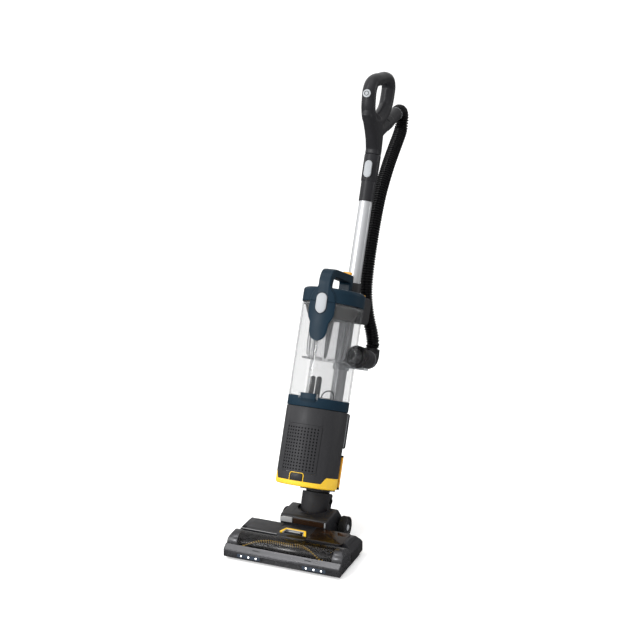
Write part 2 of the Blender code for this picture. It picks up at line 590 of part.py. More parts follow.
def bin_unit(body):
    shell = [(POD_RADIUS - 2.5, RING_TOP + GAP), (POD_RADIUS, RING_TOP + GAP), (POD_RADIUS, BIN_TOP),
             (POD_RADIUS - 2.5, BIN_TOP)]
    obj = solid("bin_shell", turned_z(shell, 0, POD_Y, FINE), "clear", body)
    join(obj, rod_y(-62, SPIGOT_END, INLET_X, INLET_Z, SPIGOT_RADIUS))
    lift_way = rod_z(RING_TOP + 5, BIN_TOP - 5, 0, POD_Y, CYCLONE_CLEAR)
    cut(obj, rod_y(-70, SPIGOT_END + 5, INLET_X, INLET_Z, SPIGOT_BORE), lift_way)

    low = HOUSING_LID + GAP
    base = [(TOWER_BORE, low), (POD_RADIUS - 3, low), (POD_RADIUS + 0.3, low + 3), (POD_RADIUS + 0.3, RING_TOP),
            (POD_RADIUS - 4, RING_TOP), (POD_RADIUS - 4, low + 4), (TOWER_RADIUS, low + 4),
            (TOWER_RADIUS, TOWER_TOP), (TOWER_BORE, TOWER_TOP)]
    solid("bin_base", turned_z(base, 0, POD_Y, FINE), "navy", body)
    face = POD_Y - POD_RADIUS
    solid("bin_clip", box(-19, 19, face - 5, face - 0.8, 291, 310), "navy", body,
          (0, face - 3, 291), bevel=1.0)

    plate = curved_plate(PLATE_INNER, PLATE_OUTER, 25, 455, BIN_TOP - GAP, 9)
    obj = solid("latch_plate", plate, "navy", body)
    join(obj, curved_plate(PLATE_INNER, PLATE_OUTER, 18, 447, 470, 7),
         curved_plate(PLATE_INNER, PLATE_OUTER, 12, 438, 470, 5),
         box(-12, 12, POD_Y - PLATE_INNER - 1, POD_Y - POD_RADIUS - GAP, 470, 480))
    cut(obj, button_pocket())


def button_pocket():
    front = POD_Y - PLATE_OUTER
    return pill(14.5, 499, 549, front - 4, front + 2.5)


def lid_unit(body):
    profile = [(POD_RADIUS - 2, BIN_TOP + GAP), (LID_RADIUS, BIN_TOP + GAP), (LID_RADIUS, LID_TOP - 8),
               (LID_RADIUS - 3, LID_TOP - 2), (LID_RADIUS - 9, LID_TOP), (0.5, LID_TOP),
               (0.5, LID_TOP - 4), (POD_RADIUS - 4, LID_TOP - 4)]
    obj = solid("lid", turned_z(profile, 0, POD_Y, FINE), "navy", body)
    front = POD_Y - LID_RADIUS
    outer = [(front - 4, LID_TOP - 20), (front - 4, 580), (front + 2, 598), (front + 14, 607), (front + 40, 610),
             (POD_Y + 71, 612), (POD_Y + 75, 608), (POD_Y + 75, 575), (POD_Y + 70, LID_TOP - 3)]
    inner = [(POD_Y + 57, LID_TOP - 3), (POD_Y + 57, 588), (POD_Y + 53, 592), (front + 30, 590),
             (front + 20, 584), (front + 16, 574), (front + 16, LID_TOP - 3), (front + 12, LID_TOP - 20)]
    join(obj, prism_x(outer + inner, -15, 15), bevel=3.0, steps=2)
    upper_plate = curved_plate(LID_RADIUS - 1, PLATE_OUTER, 25, BIN_TOP + GAP, 556, 9)
    join(obj, upper_plate)
    button_seat = box(-11, 11, POD_Y + 60, POD_Y + 73, 606, 620)
    cut(obj, button_pocket(), button_seat)

    face = POD_Y - PLATE_OUTER
    solid("lid_button", pill(13.5, 500, 548, face - 3, face + 0.5), "light_grey", body, (0, face, 524))
    button = box(-10.5, 10.5, POD_Y + 60.5, POD_Y + 72.5, 609, 619)
    solid("pod_release_button", button, "orange", body, (0, POD_Y + 66, 614), bevel=1.5)
    shroud = [(20, 492), (56, 492), (60, 500), (66, 520), (66, BIN_TOP - 1), (20, BIN_TOP - 1)]
    solid("cyclone_shroud", turned_z(shroud, 0, POD_Y), "charcoal", body)
    lobes = []
    for i in range(FINE):
        a = math.tau * i / FINE
        r = 46 + 5 * math.cos(8 * a)
        lobes.append((r * math.cos(a), POD_Y + r * math.sin(a)))
    obj = solid("cyclone_ducts", prism_z(lobes, 396, 492 - GAP), "clear", body)
    join(obj, rod_z(392, 397, 0, POD_Y, CYCLONE_FLANGE))
    cut(obj, rod_z(388, 500, 0, POD_Y, 28))
    foam = [(10, 532), (58, 532), (58, 556), (10, 556)]
    solid("pre_filter", turned_z(foam, 0, POD_Y), "foam", body)


# ---------------------------------------------------------------- wand, handle and hose

def wand(body):
    tube = [(TUBE_RADIUS - 1.5, DOCK_BOTTOM + 20), (TUBE_RADIUS, DOCK_BOTTOM + 20), (TUBE_RADIUS, WAND_TOP),
            (TUBE_RADIUS - 1.5, WAND_TOP)]
    solid("wand_tube", turned_z(tube, 0, TUBE_Y), "aluminium", body)
    inner = TUBE_RADIUS + GAP
    profile = [(inner, COLLAR_BOTTOM), (18.4, COLLAR_BOTTOM), (18.8, COLLAR_STEP), (20.2, COLLAR_STEP + 2),
               (20.6, COLLAR_TOP - 2), (19.6, COLLAR_TOP), (14.5, COLLAR_TOP), (14.5, WAND_TOP + 1),
               (inner, WAND_TOP + 1)]
    obj = solid("wand_collar", turned_z(profile, 0, TUBE_Y), "charcoal", body)
    cut(obj, pill(12, 862, 910, 4, TUBE_Y - 17.6))
    solid("handle_release_button", pill(11.5, 862.5, 909.5, 7.5, TUBE_Y - 19.4), "light_grey", body,
          (0, 10, 886))


def handle(body):
    grip = [(0, -47, 1022), (0, -55, 1045), (0, -58, 1068), (0, -50, 1087), (0, -30, 1101), (0, 0, 1112),
            (0, 34, 1124), (0, 58, 1125), (0, 72, 1112), (0, 74, 1090), (0, 70, 1062), (0, 50, 1030),
            (0, 10, 1006), (0, -28, 1002)]
    obj = solid("handle", loop_tube(smooth_path(grip, 2, closed=True), 16.0, 16.5), "charcoal", body)
    web = [(14, 944), (50, 944), (72, 985), (96, 1040), (86, 1066), (62, 1068), (0, 1036), (-36, 1028),
           (-62, 1020), (-56, 990), (-26, 962)]
    join(obj, prism_x(web, -16.5, 16.5), bevel=9.0, steps=2)
    join(obj, oval_column([(COLLAR_TOP + GAP, TUBE_Y, 18.5, 19.5), (948, 31, 17.5, 22), (968, 24, 15, 24)]))
    (y0, z0), (y1, z1) = OUTLET_START, OUTLET_END
    join(obj, rod_between((0, y0, z0), (0, y1, z1), OUTLET_RADIUS))
    beyond = (0, y1 + 0.1 * (y1 - y0), z1 + 0.1 * (z1 - z0))
    cut(obj, rod_between((0, y0, z0), beyond, AIR_RADIUS, SMALL),
        rod_between((0, TUBE_Y, COLLAR_TOP - 5), (0, y0, z0 + 6), AIR_RADIUS, SMALL),
        rod_y(-80, -70.5, 0, 1056, 8.6, SMALL))
    solid("power_button", rod_y(-76.2, -72.4, 0, 1056, 8.2, SMALL), "light_grey", body, (0, -74, 1056))


def hose(body):
    route = smooth_path(HOSE_ROUTE, 2)
    curve = bpy.data.curves.new("hose", "CURVE")
    curve.dimensions = "3D"
    spline = curve.splines.new("POLY")
    spline.points.add(len(route) - 1)
    for point, place in zip(spline.points, route):
        point.co = (*(place * MM), 1.0)
    curve.bevel_depth = HOSE_RADIUS * MM
    curve.bevel_resolution = 2
    curve.use_fill_caps = True
    curve.materials.append(finish("black"))
    obj = bpy.data.objects.new("hose", curve)
    bpy.context.collection.objects.link(obj)
    obj.parent = body


# ---------------------------------------------------------------- assembly

def origin_shift():
    """How far back the floor centre of the object's box is from the recline hinge."""
    bpy.context.view_layer.update()
    graph = bpy.context.evaluated_depsgraph_get()
    low, high = math.inf, -math.inf
    for obj in bpy.context.scene.objects:
        if obj.type == "MESH" and not obj.hide_render:
            shape = obj.evaluated_get(graph)
            for corner in shape.data.vertices:
                y = (shape.matrix_world @ corner.co).y
                low, high = min(low, y), max(high, y)
    return (low + high) / 2


def build():
    clear_scene()
    head = frame_empty("head_frame")
    body = frame_empty("body_frame", head, (0, 0, PIVOT_Z), -RECLINE)
    for make in (sole_plate, bumper, end_caps, head_cover, rear_housing, wheels, brush_drive, front_rollers):
        make(head)
    for make in (neck, spine, motor_unit, bin_unit, lid_unit, wand, handle, hose):
        make(body)
    head.location.y = -origin_shift()


build()
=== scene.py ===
"""Looks of the upright bagless vacuum cleaner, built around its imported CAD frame.

Shapes are drawn in millimetres in two local frames and placed in the frame's metres:
HEAD stands on the floor with y = 0 at the recline hinge; BODY has its origin on that hinge
and z up the machine's long axis. In both, x points to the machine's right and -y to its front.
"""
import json
import math

import bmesh
import bpy
from mathutils import Matrix, Vector

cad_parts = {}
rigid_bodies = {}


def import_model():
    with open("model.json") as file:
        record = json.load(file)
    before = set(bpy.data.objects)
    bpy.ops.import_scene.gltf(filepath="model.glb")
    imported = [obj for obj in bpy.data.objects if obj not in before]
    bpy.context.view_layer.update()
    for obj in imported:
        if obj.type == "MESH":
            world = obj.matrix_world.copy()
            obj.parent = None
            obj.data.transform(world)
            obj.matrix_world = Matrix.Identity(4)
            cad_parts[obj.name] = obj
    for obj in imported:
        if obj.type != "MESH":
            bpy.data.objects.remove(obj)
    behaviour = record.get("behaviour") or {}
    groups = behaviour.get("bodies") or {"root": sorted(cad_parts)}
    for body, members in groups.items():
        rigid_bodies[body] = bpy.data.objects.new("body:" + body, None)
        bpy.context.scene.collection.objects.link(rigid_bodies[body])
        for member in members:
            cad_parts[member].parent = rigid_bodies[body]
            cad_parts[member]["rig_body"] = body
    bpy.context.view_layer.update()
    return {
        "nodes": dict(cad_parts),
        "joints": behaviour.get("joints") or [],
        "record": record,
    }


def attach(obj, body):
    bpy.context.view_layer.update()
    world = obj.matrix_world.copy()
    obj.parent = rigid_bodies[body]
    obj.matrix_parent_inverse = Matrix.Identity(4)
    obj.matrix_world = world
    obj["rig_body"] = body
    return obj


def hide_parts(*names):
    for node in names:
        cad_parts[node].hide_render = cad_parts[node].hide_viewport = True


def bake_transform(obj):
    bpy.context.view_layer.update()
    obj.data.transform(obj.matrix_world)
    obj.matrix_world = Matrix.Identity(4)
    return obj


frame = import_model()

# ---------------------------------------------------------------- frames and driving sizes

MM = 0.001
FINE, ROUND = 128, 64                     # sides of large and of middling round shapes
JOINTS = {joint["name"]: joint for joint in frame["joints"]}
PIVOT = Vector(JOINTS["recline"]["pos_m"])
LONG = Vector(JOINTS["steering_swivel"]["axis"])
UP = Vector((0, 0, 1))
RIGHT = Vector((1, 0, 0))


def placement(origin, up):
    """The matrix from a local frame's millimetres to the row's metres."""
    turn = Matrix((RIGHT, up.cross(RIGHT), up)).transposed().to_4x4()
    return Matrix.Translation(origin) @ turn @ Matrix.Scale(MM, 4)


HEAD = placement(Vector((0, PIVOT.y, 0)), UP)
BODY = placement(PIVOT, LONG)


def span(node, place):
    """Lowest and highest corners of a CAD node in a local frame's millimetres."""
    inverse = place.inverted()
    points = [inverse @ vertex.co for vertex in frame["nodes"][node].data.vertices]
    return (Vector([min(p[i] for p in points) for i in range(3)]),
            Vector([max(p[i] for p in points) for i in range(3)]))


POD_LOW, POD_HIGH = span("motor_housing", BODY)
POD_RADIUS = POD_HIGH.x
POD_Y = (POD_LOW.y + POD_HIGH.y) / 2
POD_TOP = POD_HIGH.z
BAND_LOW = span("base_band", BODY)[0].z
BIN_LOW, BIN_HIGH = span("bin_shell", BODY)
RING_LOW = span("bin_base", BODY)[0].z
LID_RADIUS = span("lid", BODY)[1].x
LID_LOW = span("lid", BODY)[0].z
TUBE_LOW, TUBE_HIGH = span("wand_tube", BODY)
TUBE_RADIUS = TUBE_HIGH.x
TUBE_Y = (TUBE_LOW.y + TUBE_HIGH.y) / 2

# The hose's own line, in metres in the BODY frame, from the handle's outlet to the elbow
HOSE_ROUTE = (
    (0.0, 0.1586, 1.0644), (0.0, 0.1670, 1.0699), (0.0, 0.1760, 1.0750), (0.0, 0.1960, 1.0770),
    (-0.0005, 0.2110, 1.0640), (-0.0010, 0.2170, 1.0420), (-0.0010, 0.2090, 1.0180),
    (-0.0010, 0.1830, 0.9720), (0.0, 0.1540, 0.9200), (0.0020, 0.1230, 0.8500), (0.0050, 0.1040, 0.7800),
    (0.0085, 0.0920, 0.7050), (0.0125, 0.0850, 0.6350), (0.0180, 0.0840, 0.5800), (0.0300, 0.0870, 0.5300),
    (0.0440, 0.0940, 0.4880), (0.0500, 0.0976, 0.4640), (0.0500, 0.0980, 0.4550), (0.0500, 0.0980, 0.4466),
)
HOSE_DIAMETER = 0.035
HOSE_PITCH = 0.0066
HOSE_DEPTH = 0.0038

# Camera: where it stands from the foot of the recline hinge, and where it looks
CAMERA_PLACE = Vector((1.2866, -3.0913, 1.6055)) + Vector((0, PIVOT.y, 0))
CAMERA_AZIMUTH, CAMERA_ELEVATION = math.radians(22.48), math.radians(17.29)
CAMERA_LENS, CAMERA_SENSOR = 85.33, 36.0


# ---------------------------------------------------------------- materials

LOOKS = {}
LEAN = -math.atan2(LONG.y, LONG.z)
ALONG_X = (4.0, 320.0, 320.0)             # brush marks: fine across, drawn out along an axis
ALONG_BODY = (260.0, 260.0, 3.0)
ROUND_X = (900.0, 12.0, 12.0)


class Nodes:
    """A material's node tree with short calls to add and link nodes."""

    def __init__(self, name):
        self.material = LOOKS[name] = bpy.data.materials.new(name)
        self.material.use_nodes = True
        self.tree = self.material.node_tree
        self.shader = self.tree.nodes["Principled BSDF"]

    def add(self, kind, **values):
        node = self.tree.nodes.new(kind)
        for key, value in values.items():
            setattr(node, key, value)
        return node

    def link(self, output, socket):
        self.tree.links.new(output, socket)

    def noise(self, scale, detail=3.0, stretch=None, lean=0.0):
        """Noise in the frame's metres; stretch squeezes it per axis, lean tips it with the body."""
        where = self.add("ShaderNodeTexCoord").outputs["Object"]
        if stretch:
            mapping = self.add("ShaderNodeMapping")
            mapping.inputs["Rotation"].default_value = (lean, 0, 0)
            mapping.inputs["Scale"].default_value = stretch
            self.link(where, mapping.inputs["Vector"])
            where = mapping.outputs["Vector"]
        noise = self.add("ShaderNodeTexNoise")
        noise.inputs["Scale"].default_value = scale
        noise.inputs["Detail"].default_value = detail
        self.link(where, noise.inputs["Vector"])
        return noise.outputs["Fac"]

    def remap(self, value, low, high, start=0.3, end=0.7):
        node = self.add("ShaderNodeMapRange")
        for socket, number in (("From Min", start), ("From Max", end), ("To Min", low), ("To Max", high)):
            node.inputs[socket].default_value = number
        self.link(value, node.inputs["Value"])
        return node.outputs["Result"]

    def blend(self, factor, first, second):
        """Mix two colours; each is a colour or a socket."""
        node = self.add("ShaderNodeMix", data_type="RGBA")
        self.link(factor, node.inputs["Factor"])
        for value, socket in ((first, node.inputs[6]), (second, node.inputs[7])):
            if isinstance(value, bpy.types.NodeSocket):
                self.link(value, socket)
            else:
                socket.default_value = (*value, 1.0)
        return node.outputs[2]

    def bump(self, height, strength, depth):
        node = self.add("ShaderNodeBump")
        node.inputs["Strength"].default_value = strength
        node.inputs["Distance"].default_value = depth
        self.link(height, node.inputs["Height"])
        self.link(node.outputs["Normal"], self.shader.inputs["Normal"])


def tint(colour, factor):
    return tuple(min(c * factor, 1.0) for c in colour)


def plastic(name, colour, roughness, relief=0.10, grain=1600.0, wear=1.6, specular=0.5, metallic=0.0,
            streak=None, lean=0.0, coat=0.0, mottle=0.08):
    """A moulded or coated surface: fine grain, soft mottling, uneven gloss and rubbed edges."""
    nodes = Nodes(name)
    shader = nodes.shader
    for socket, value in (("Metallic", metallic), ("Specular IOR Level", specular), ("Coat Weight", coat),
                          ("Coat Roughness", 0.12)):
        shader.inputs[socket].default_value = value
    cloud = nodes.noise(18.0, 4.0)
    body = nodes.blend(nodes.remap(cloud, 0.0, 1.0), tint(colour, 1 - mottle), tint(colour, 1 + mottle))
    fine = nodes.noise(grain, 2.0, streak, lean)
    speckled = nodes.blend(nodes.remap(fine, 0.0, 0.35), body, tint(colour, 1.25))
    worn = nodes.remap(nodes.add("ShaderNodeNewGeometry").outputs["Pointiness"], 0.0, 0.55, 0.53, 0.60)
    nodes.link(nodes.blend(worn, speckled, tint(colour, wear)), shader.inputs["Base Color"])
    gloss = nodes.remap(nodes.noise(55.0, 4.0), roughness - 0.05, roughness + 0.06)
    nodes.link(gloss, shader.inputs["Roughness"])
    nodes.bump(fine, relief, 0.00008)


def see_through(name, colour, roughness, face_alpha, edge_alpha, edge=None, start=0.05, specular=0.5):
    """Clear or smoked plastic: faint moulding waves, and denser and greyer where it is seen edge on."""
    nodes = Nodes(name)
    shader = nodes.shader
    shader.inputs["Specular IOR Level"].default_value = specular
    cloud = nodes.noise(14.0, 3.0)
    face = nodes.blend(nodes.remap(cloud, 0.0, 1.0), tint(colour, 0.94), tint(colour, 1.06))
    gloss = nodes.remap(nodes.noise(90.0, 3.0), roughness * 0.7, roughness * 1.5)
    nodes.link(gloss, shader.inputs["Roughness"])
    facing = nodes.add("ShaderNodeLayerWeight")
    facing.inputs["Blend"].default_value = 0.35
    turned = facing.outputs["Facing"]
    nodes.link(nodes.remap(turned, face_alpha, edge_alpha, start, 0.95), shader.inputs["Alpha"])
    rim = nodes.blend(nodes.remap(turned, 0.0, 1.0, start, 0.95), face, edge or colour)
    nodes.link(rim, shader.inputs["Base Color"])
    nodes.bump(nodes.noise(700.0, 2.0), 0.03, 0.00001)


def foam(name):
    """Open filter foam: small pores that are dark inside."""
    nodes = Nodes(name)
    pores = nodes.add("ShaderNodeTexVoronoi")
    pores.inputs["Scale"].default_value = 900.0
    nodes.link(nodes.add("ShaderNodeTexCoord").outputs["Object"], pores.inputs["Vector"])
    depth = pores.outputs["Distance"]
    grey = nodes.blend(nodes.remap(depth, 0.0, 1.0, 0.1, 0.6), (0.34, 0.36, 0.38), (0.12, 0.13, 0.14))
    nodes.link(grey, nodes.shader.inputs["Base Color"])
    nodes.link(nodes.remap(nodes.noise(60.0), 0.88, 0.98), nodes.shader.inputs["Roughness"])
    nodes.bump(depth, 0.7, 0.0004)


def lamp(name, strength):
    """A small white light."""
    nodes = Nodes(name)
    glow = nodes.blend(nodes.noise(900.0), (0.95, 0.97, 1.0), (1.0, 1.0, 1.0))
    nodes.link(glow, nodes.shader.inputs["Base Color"])
    nodes.link(nodes.remap(nodes.noise(400.0), 0.15, 0.25), nodes.shader.inputs["Roughness"])
    nodes.shader.inputs["Emission Color"].default_value = (1.0, 1.0, 1.0, 1.0)
    nodes.shader.inputs["Emission Strength"].default_value = strength


plastic("charcoal", (0.023, 0.023, 0.025), 0.44, 0.25, specular=0.19)
plastic("charcoal_soft", (0.015, 0.015, 0.017), 0.34, specular=0.20)
plastic("black", (0.006, 0.006, 0.007), 0.34, specular=0.20)
plastic("gloss_black", (0.004, 0.004, 0.005), 0.20, 0.04, specular=0.32)
plastic("hose", (0.003, 0.003, 0.0035), 0.26, 0.10, 2200.0, 2.5, specular=0.18)
# recess: near-black, used for the painted shade behind the vent door's holes
plastic("recess", (0.004, 0.004, 0.005), 0.60, 0.25, specular=0.10)
plastic("navy", (0.0055, 0.0175, 0.030), 0.38, wear=1.5, specular=0.13)
plastic("yellow", (0.80, 0.49, 0.018), 0.40, wear=1.1, mottle=0.04)
plastic("orange", (0.72, 0.33, 0.012), 0.40, wear=1.15, mottle=0.04)
plastic("light_grey", (0.33, 0.345, 0.36), 0.42, wear=1.1, mottle=0.03, specular=0.3)
plastic("trim_grey", (0.30, 0.305, 0.31), 0.36, wear=1.2)
plastic("gunmetal", (0.028, 0.028, 0.031), 0.26, 0.30, 1.0, 2.2, 0.4, 0.35, ALONG_X, coat=0.10)
plastic("brushed", (0.050, 0.050, 0.053), 0.24, 0.25, 1.0, 1.6, 0.5, 0.50, ALONG_X)
plastic("aluminium", (0.45, 0.458, 0.47), 0.33, 0.08, 1.0, 1.1, 0.5, 0.60, ALONG_BODY, LEAN, mottle=0.02)
plastic("steel", (0.50, 0.50, 0.51), 0.34, 0.3, 1.0, 1.2, 0.5, 1.0, ROUND_X)
plastic("motor_can", (0.40, 0.41, 0.43), 0.38, 0.25, 1.0, 1.3, 0.5, 1.0, ALONG_BODY, LEAN)
plastic("rubber", (0.010, 0.010, 0.010), 0.70, 0.4, 900.0, specular=0.25)
plastic("brown_gloss", (0.009, 0.0048, 0.0026), 0.20, 0.02, specular=0.20)
plastic("brown_glow", (0.019, 0.0075, 0.0025), 0.22, 0.04, specular=0.25)
plastic("bristle", (1.0, 0.47, 0.09), 0.60, 0.4, 2600.0)
plastic("shroud", (0.048, 0.046, 0.044), 0.42, specular=0.3)
plastic("strip_blue", (0.035, 0.045, 0.062), 0.20, 0.04, specular=0.4)
see_through("smoked", (0.004, 0.003, 0.003), 0.13, 0.30, 0.85, specular=0.40)
see_through("clear", (0.13, 0.135, 0.14), 0.05, 0.14, 0.82, (0.17, 0.18, 0.19), 0.60)
see_through("cone", (0.62, 0.63, 0.65), 0.10, 0.13, 0.96, (0.03, 0.03, 0.034), 0.30)
see_through("tower", (0.78, 0.79, 0.80), 0.08, 0.05, 0.85, (0.26, 0.27, 0.28), 0.25)
foam("foam")
lamp("led", 3.0)


# ---------------------------------------------------------------- shapes

def loft(rings, closed=False):
    """Skin a list of rings with equal point counts; the ends are capped unless the loft is closed."""
    shape = bmesh.new()
    rows = [[shape.verts.new(point) for point in ring] for ring in rings]
    count = len(rows[0])
    pairs = list(zip(rows, rows[1:]))
    if closed:
        pairs.append((rows[-1], rows[0]))
    for low, high in pairs:
        for i in range(count):
            j = (i + 1) % count
            shape.faces.new((low[i], low[j], high[j], high[i]))
    if not closed:
        shape.faces.new(rows[0])
        shape.faces.new(rows[-1])
    return shape


def box(x0, x1, y0, y1, z0, z1):
    corners = ((x0, y0), (x1, y0), (x1, y1), (x0, y1))
    return loft([[(x, y, z) for x, y in corners] for z in (z0, z1)])


def prism_x(outline, x0, x1):
    return loft([[(x, y, z) for y, z in outline] for x in (x0, x1)])


def prism_y(outline, y0, y1):
    return loft([[(x, y, z) for x, z in outline] for y in (y0, y1)])


def prism_z(outline, z0, z1):
    return loft([[(x, y, z) for x, y in outline] for z in (z0, z1)])


def circle(radius, count=ROUND):
    return [(radius * math.cos(math.tau * i / count), radius * math.sin(math.tau * i / count))
            for i in range(count)]


def arc(centre, radius, first, last, count):
    angles = [math.radians(first + (last - first) * i / (count - 1)) for i in range(count)]
    return [(centre[0] + radius * math.cos(a), centre[1] + radius * math.sin(a)) for a in angles]


def rounded_rectangle(x0, x1, z0, z1, radius, count=7):
    """Corner arcs in order round a rectangle."""
    outline = []
    for x, z, first in ((x1 - radius, z1 - radius, 0), (x0 + radius, z1 - radius, 90),
                        (x0 + radius, z0 + radius, 180), (x1 - radius, z0 + radius, 270)):
        outline += arc((x, z), radius, first, first + 90, count)
    return outline


def rod_x(x0, x1, y, z, radius, count=ROUND):
    return loft([[(x, y + a, z + b) for a, b in circle(radius, count)] for x in (x0, x1)])


def rod_y(y0, y1, x, z, radius, count=ROUND):
    return loft([[(x + a, y, z + b) for a, b in circle(radius, count)] for y in (y0, y1)])


def rod_z(z0, z1, x, y, radius, count=ROUND):
    return loft([[(x + a, y + b, z) for a, b in circle(radius, count)] for z in (z0, z1)])


def rod_between(start, end, radius, count=ROUND, radius_end=None):
    start, end = Vector(start), Vector(end)
    turn = (end - start).to_track_quat("Z", "Y")
    rings = []
    for point, size in ((start, radius), (end, radius_end or radius)):
        rings.append([point + turn @ Vector((a, b, 0)) for a, b in circle(size, count)])
    return loft(rings)


def turned_z(profile, x=0.0, y=0.0, count=ROUND):
    """Turn a closed (r, z) profile about a line along z."""
    return loft([[(x + r * math.cos(a), y + r * math.sin(a), z) for r, z in profile]
                 for a in (math.tau * i / count for i in range(count))], closed=True)


def turned_x(profile, y, z, count=ROUND):
    return loft([[(x, y + r * math.cos(a), z + r * math.sin(a)) for x, r in profile]
                 for a in (math.tau * i / count for i in range(count))], closed=True)


def turned_y(profile, x, z, count=ROUND):
    return loft([[(x + r * math.cos(a), y, z + r * math.sin(a)) for y, r in profile]
                 for a in (math.tau * i / count for i in range(count))], closed=True)


def round_pod(radius, angle, z):
    return (radius * math.cos(angle), POD_Y + radius * math.sin(angle), z)


def turned_pod(profile, count=FINE):
    """Turn a closed (r, z) profile about the pod's axis; the profile may be a function of the angle."""
    rings = []
    for i in range(count):
        a = math.tau * i / count
        rings.append([round_pod(r, a, z) for r, z in (profile(a) if callable(profile) else profile)])
    return loft(rings, closed=True)


def on_pod(across, z, radius):
    """A point on a cylinder round the pod's axis; across is measured along its front in millimetres."""
    a = across / POD_RADIUS
    return (radius * math.sin(a), POD_Y - radius * math.cos(a), z)


def pod_prism(outline, inner, outer):
    """Wrap an (across, z) outline round the pod and thicken it from one radius to the other."""
    return loft([[on_pod(u, z, r) for u, z in outline] for r in (inner, outer)])


def ribbon(outer, inner, put, low, high):
    """Rings of a raised band between two outlines; put(u, v, height) gives the place of each point."""
    return [[put(*o, low), put(*o, high), put(*i, high), put(*i, low)] for o, i in zip(outer, inner)]


def beside(side, near, far):
    """The low and high x of a stretch on one side."""
    return sorted((side * near, side * far))


def centre(low, high):
    return [(a + b) / 2 for a, b in zip(low, high)]


def pod_plate(half, z0, z1, inner, outer, count=25, edge=0.0):
    """A plate bent round the pod; edge rounds its long sides off."""
    ring = [(-half, inner), (-half, outer - edge)]
    ring += [(-half + edge + (2 * half - 2 * edge) * i / (count - 1), outer) for i in range(count)]
    ring += [(half, outer - edge), (half, inner)]
    ring += [(half - 2 * half * i / (count - 1), inner) for i in range(1, count - 1)]
    return loft([[on_pod(u, z, r) for u, r in ring] for z in (z0, z1)])


def pill(half_width, z0, z1, count=13, point=0.0):
    """An upright pill outline; point draws its lower end out to a blunt tip."""
    low, high = z0 + half_width, z1 - half_width
    lower = [(x, z - point * max(0.0, 1 - abs(x) / half_width))
             for x, z in arc((0, low), half_width, 180, 360, count)]
    return arc((0, high), half_width, 0, 180, count) + lower


def smooth_path(points, spans, closed=False):
    """Catmull-Rom points through the given ones."""
    points = [Vector(p) for p in points]
    count = len(points)
    if not closed:
        points = [2 * points[0] - points[1]] + points + [2 * points[-1] - points[-2]]
    path = []
    for i in range(count if closed else count - 1):
        if closed:
            a, b, c, d = (points[(i + k) % count] for k in (-1, 0, 1, 2))
        else:
            a, b, c, d = points[i:i + 4]
        for step in range(spans):
            t = step / spans
            path.append(0.5 * (2 * b + (c - a) * t + (2 * a - 5 * b + 4 * c - d) * t ** 2
                               + (3 * b - a - 3 * c + d) * t ** 3))
    if not closed:
        path.append(points[-2])
    return path


def even_path(path, step):
    """Points at equal steps along a path, and the path's length."""
    lengths = [0.0]
    for a, b in zip(path, path[1:]):
        lengths.append(lengths[-1] + (b - a).length)
    total = lengths[-1]
    count = max(2, round(total / step))
    points, place = [], 0
    for i in range(count + 1):
        goal = total * i / count
        while place < len(path) - 2 and lengths[place + 1] < goal:
            place += 1
        share = (goal - lengths[place]) / (lengths[place + 1] - lengths[place])
        points.append(path[place].lerp(path[place + 1], share))
    return points, total


def swept(path, radii, count=ROUND):
    """A round skin along a path, one radius per point, with capped ends; it never twists."""
    rings = []
    side = None
    for i, point in enumerate(path):
        along = (path[min(i + 1, len(path) - 1)] - path[max(i - 1, 0)]).normalized()
        side = along.orthogonal() if side is None else side - along * side.dot(along)
        side.normalize()
        up = along.cross(side)
        rings.append([point + (side * math.cos(a) + up * math.sin(a)) * radii[i]
                      for a in (math.tau * k / count for k in range(count))])
    return loft(rings)


def loop_tube(path, half_x, half_in_plane, count=32):
    """A closed tube of oval section along a closed path in a y-z plane."""
    rings = []
    for i, point in enumerate(path):
        along = (path[(i + 1) % len(path)] - path[i - 1]).normalized()
        across = Vector((0, -along.z, along.y))
        rings.append([point + Vector((half_x * math.cos(a), 0, 0)) + across * half_in_plane * math.sin(a)
                      for a in (math.tau * k / count for k in range(count))])
    return loft(rings, closed=True)


def oval_column(stations, count=ROUND, power=2.0):
    """A column of ovals, squarer for a higher power; each station is z, centre y, half x, half y."""
    def push(value):
        return math.copysign(abs(value) ** (2 / power), value)
    return loft([[(hx * push(a), cy + hy * push(b), z) for a, b in circle(1.0, count)]
                 for z, cy, hx, hy in stations])


def merged(shapes):
    """Several separate shapes as one."""
    whole = bmesh.new()
    for shape in shapes:
        mesh = bpy.data.meshes.new("part")
        bmesh.ops.recalc_face_normals(shape, faces=shape.faces)
        shape.to_mesh(mesh)
        shape.free()
        whole.from_mesh(mesh)
        bpy.data.meshes.remove(mesh)
    return whole


# ---------------------------------------------------------------- from shapes to pieces

# The bodies whose shapes are drawn in the HEAD frame; all others are drawn in BODY
ON_HEAD = {"head", "brush", "pulley", "window", "window_catch", "wheel_left", "wheel_right", "roller_left",
           "roller_right"}


def scratch(name, shape):
    bmesh.ops.recalc_face_normals(shape, faces=shape.faces)
    mesh = bpy.data.meshes.new(name)
    shape.to_mesh(mesh)
    shape.free()
    obj = bpy.data.objects.new(name, mesh)
    bpy.context.scene.collection.objects.link(obj)
    return obj


def evaluated(obj):
    """The object's mesh with its modifiers applied, as a bmesh."""
    graph = bpy.context.evaluated_depsgraph_get()
    mesh = bpy.data.meshes.new_from_object(obj.evaluated_get(graph))
    shape = bmesh.new()
    shape.from_mesh(mesh)
    bpy.data.meshes.remove(mesh)
    return shape


def discard(*objects):
    for obj in objects:
        mesh = obj.data
        bpy.data.objects.remove(obj)
        bpy.data.meshes.remove(mesh)


def combine(shape, tools, operation):
    target = scratch("target", shape)
    others = [scratch("tool", tool) for tool in tools]
    for other in others:
        modifier = target.modifiers.new("cut", "BOOLEAN")
        modifier.operation = operation
        modifier.solver = "EXACT"
        modifier.object = other
    result = evaluated(target)
    discard(target, *others)
    return result


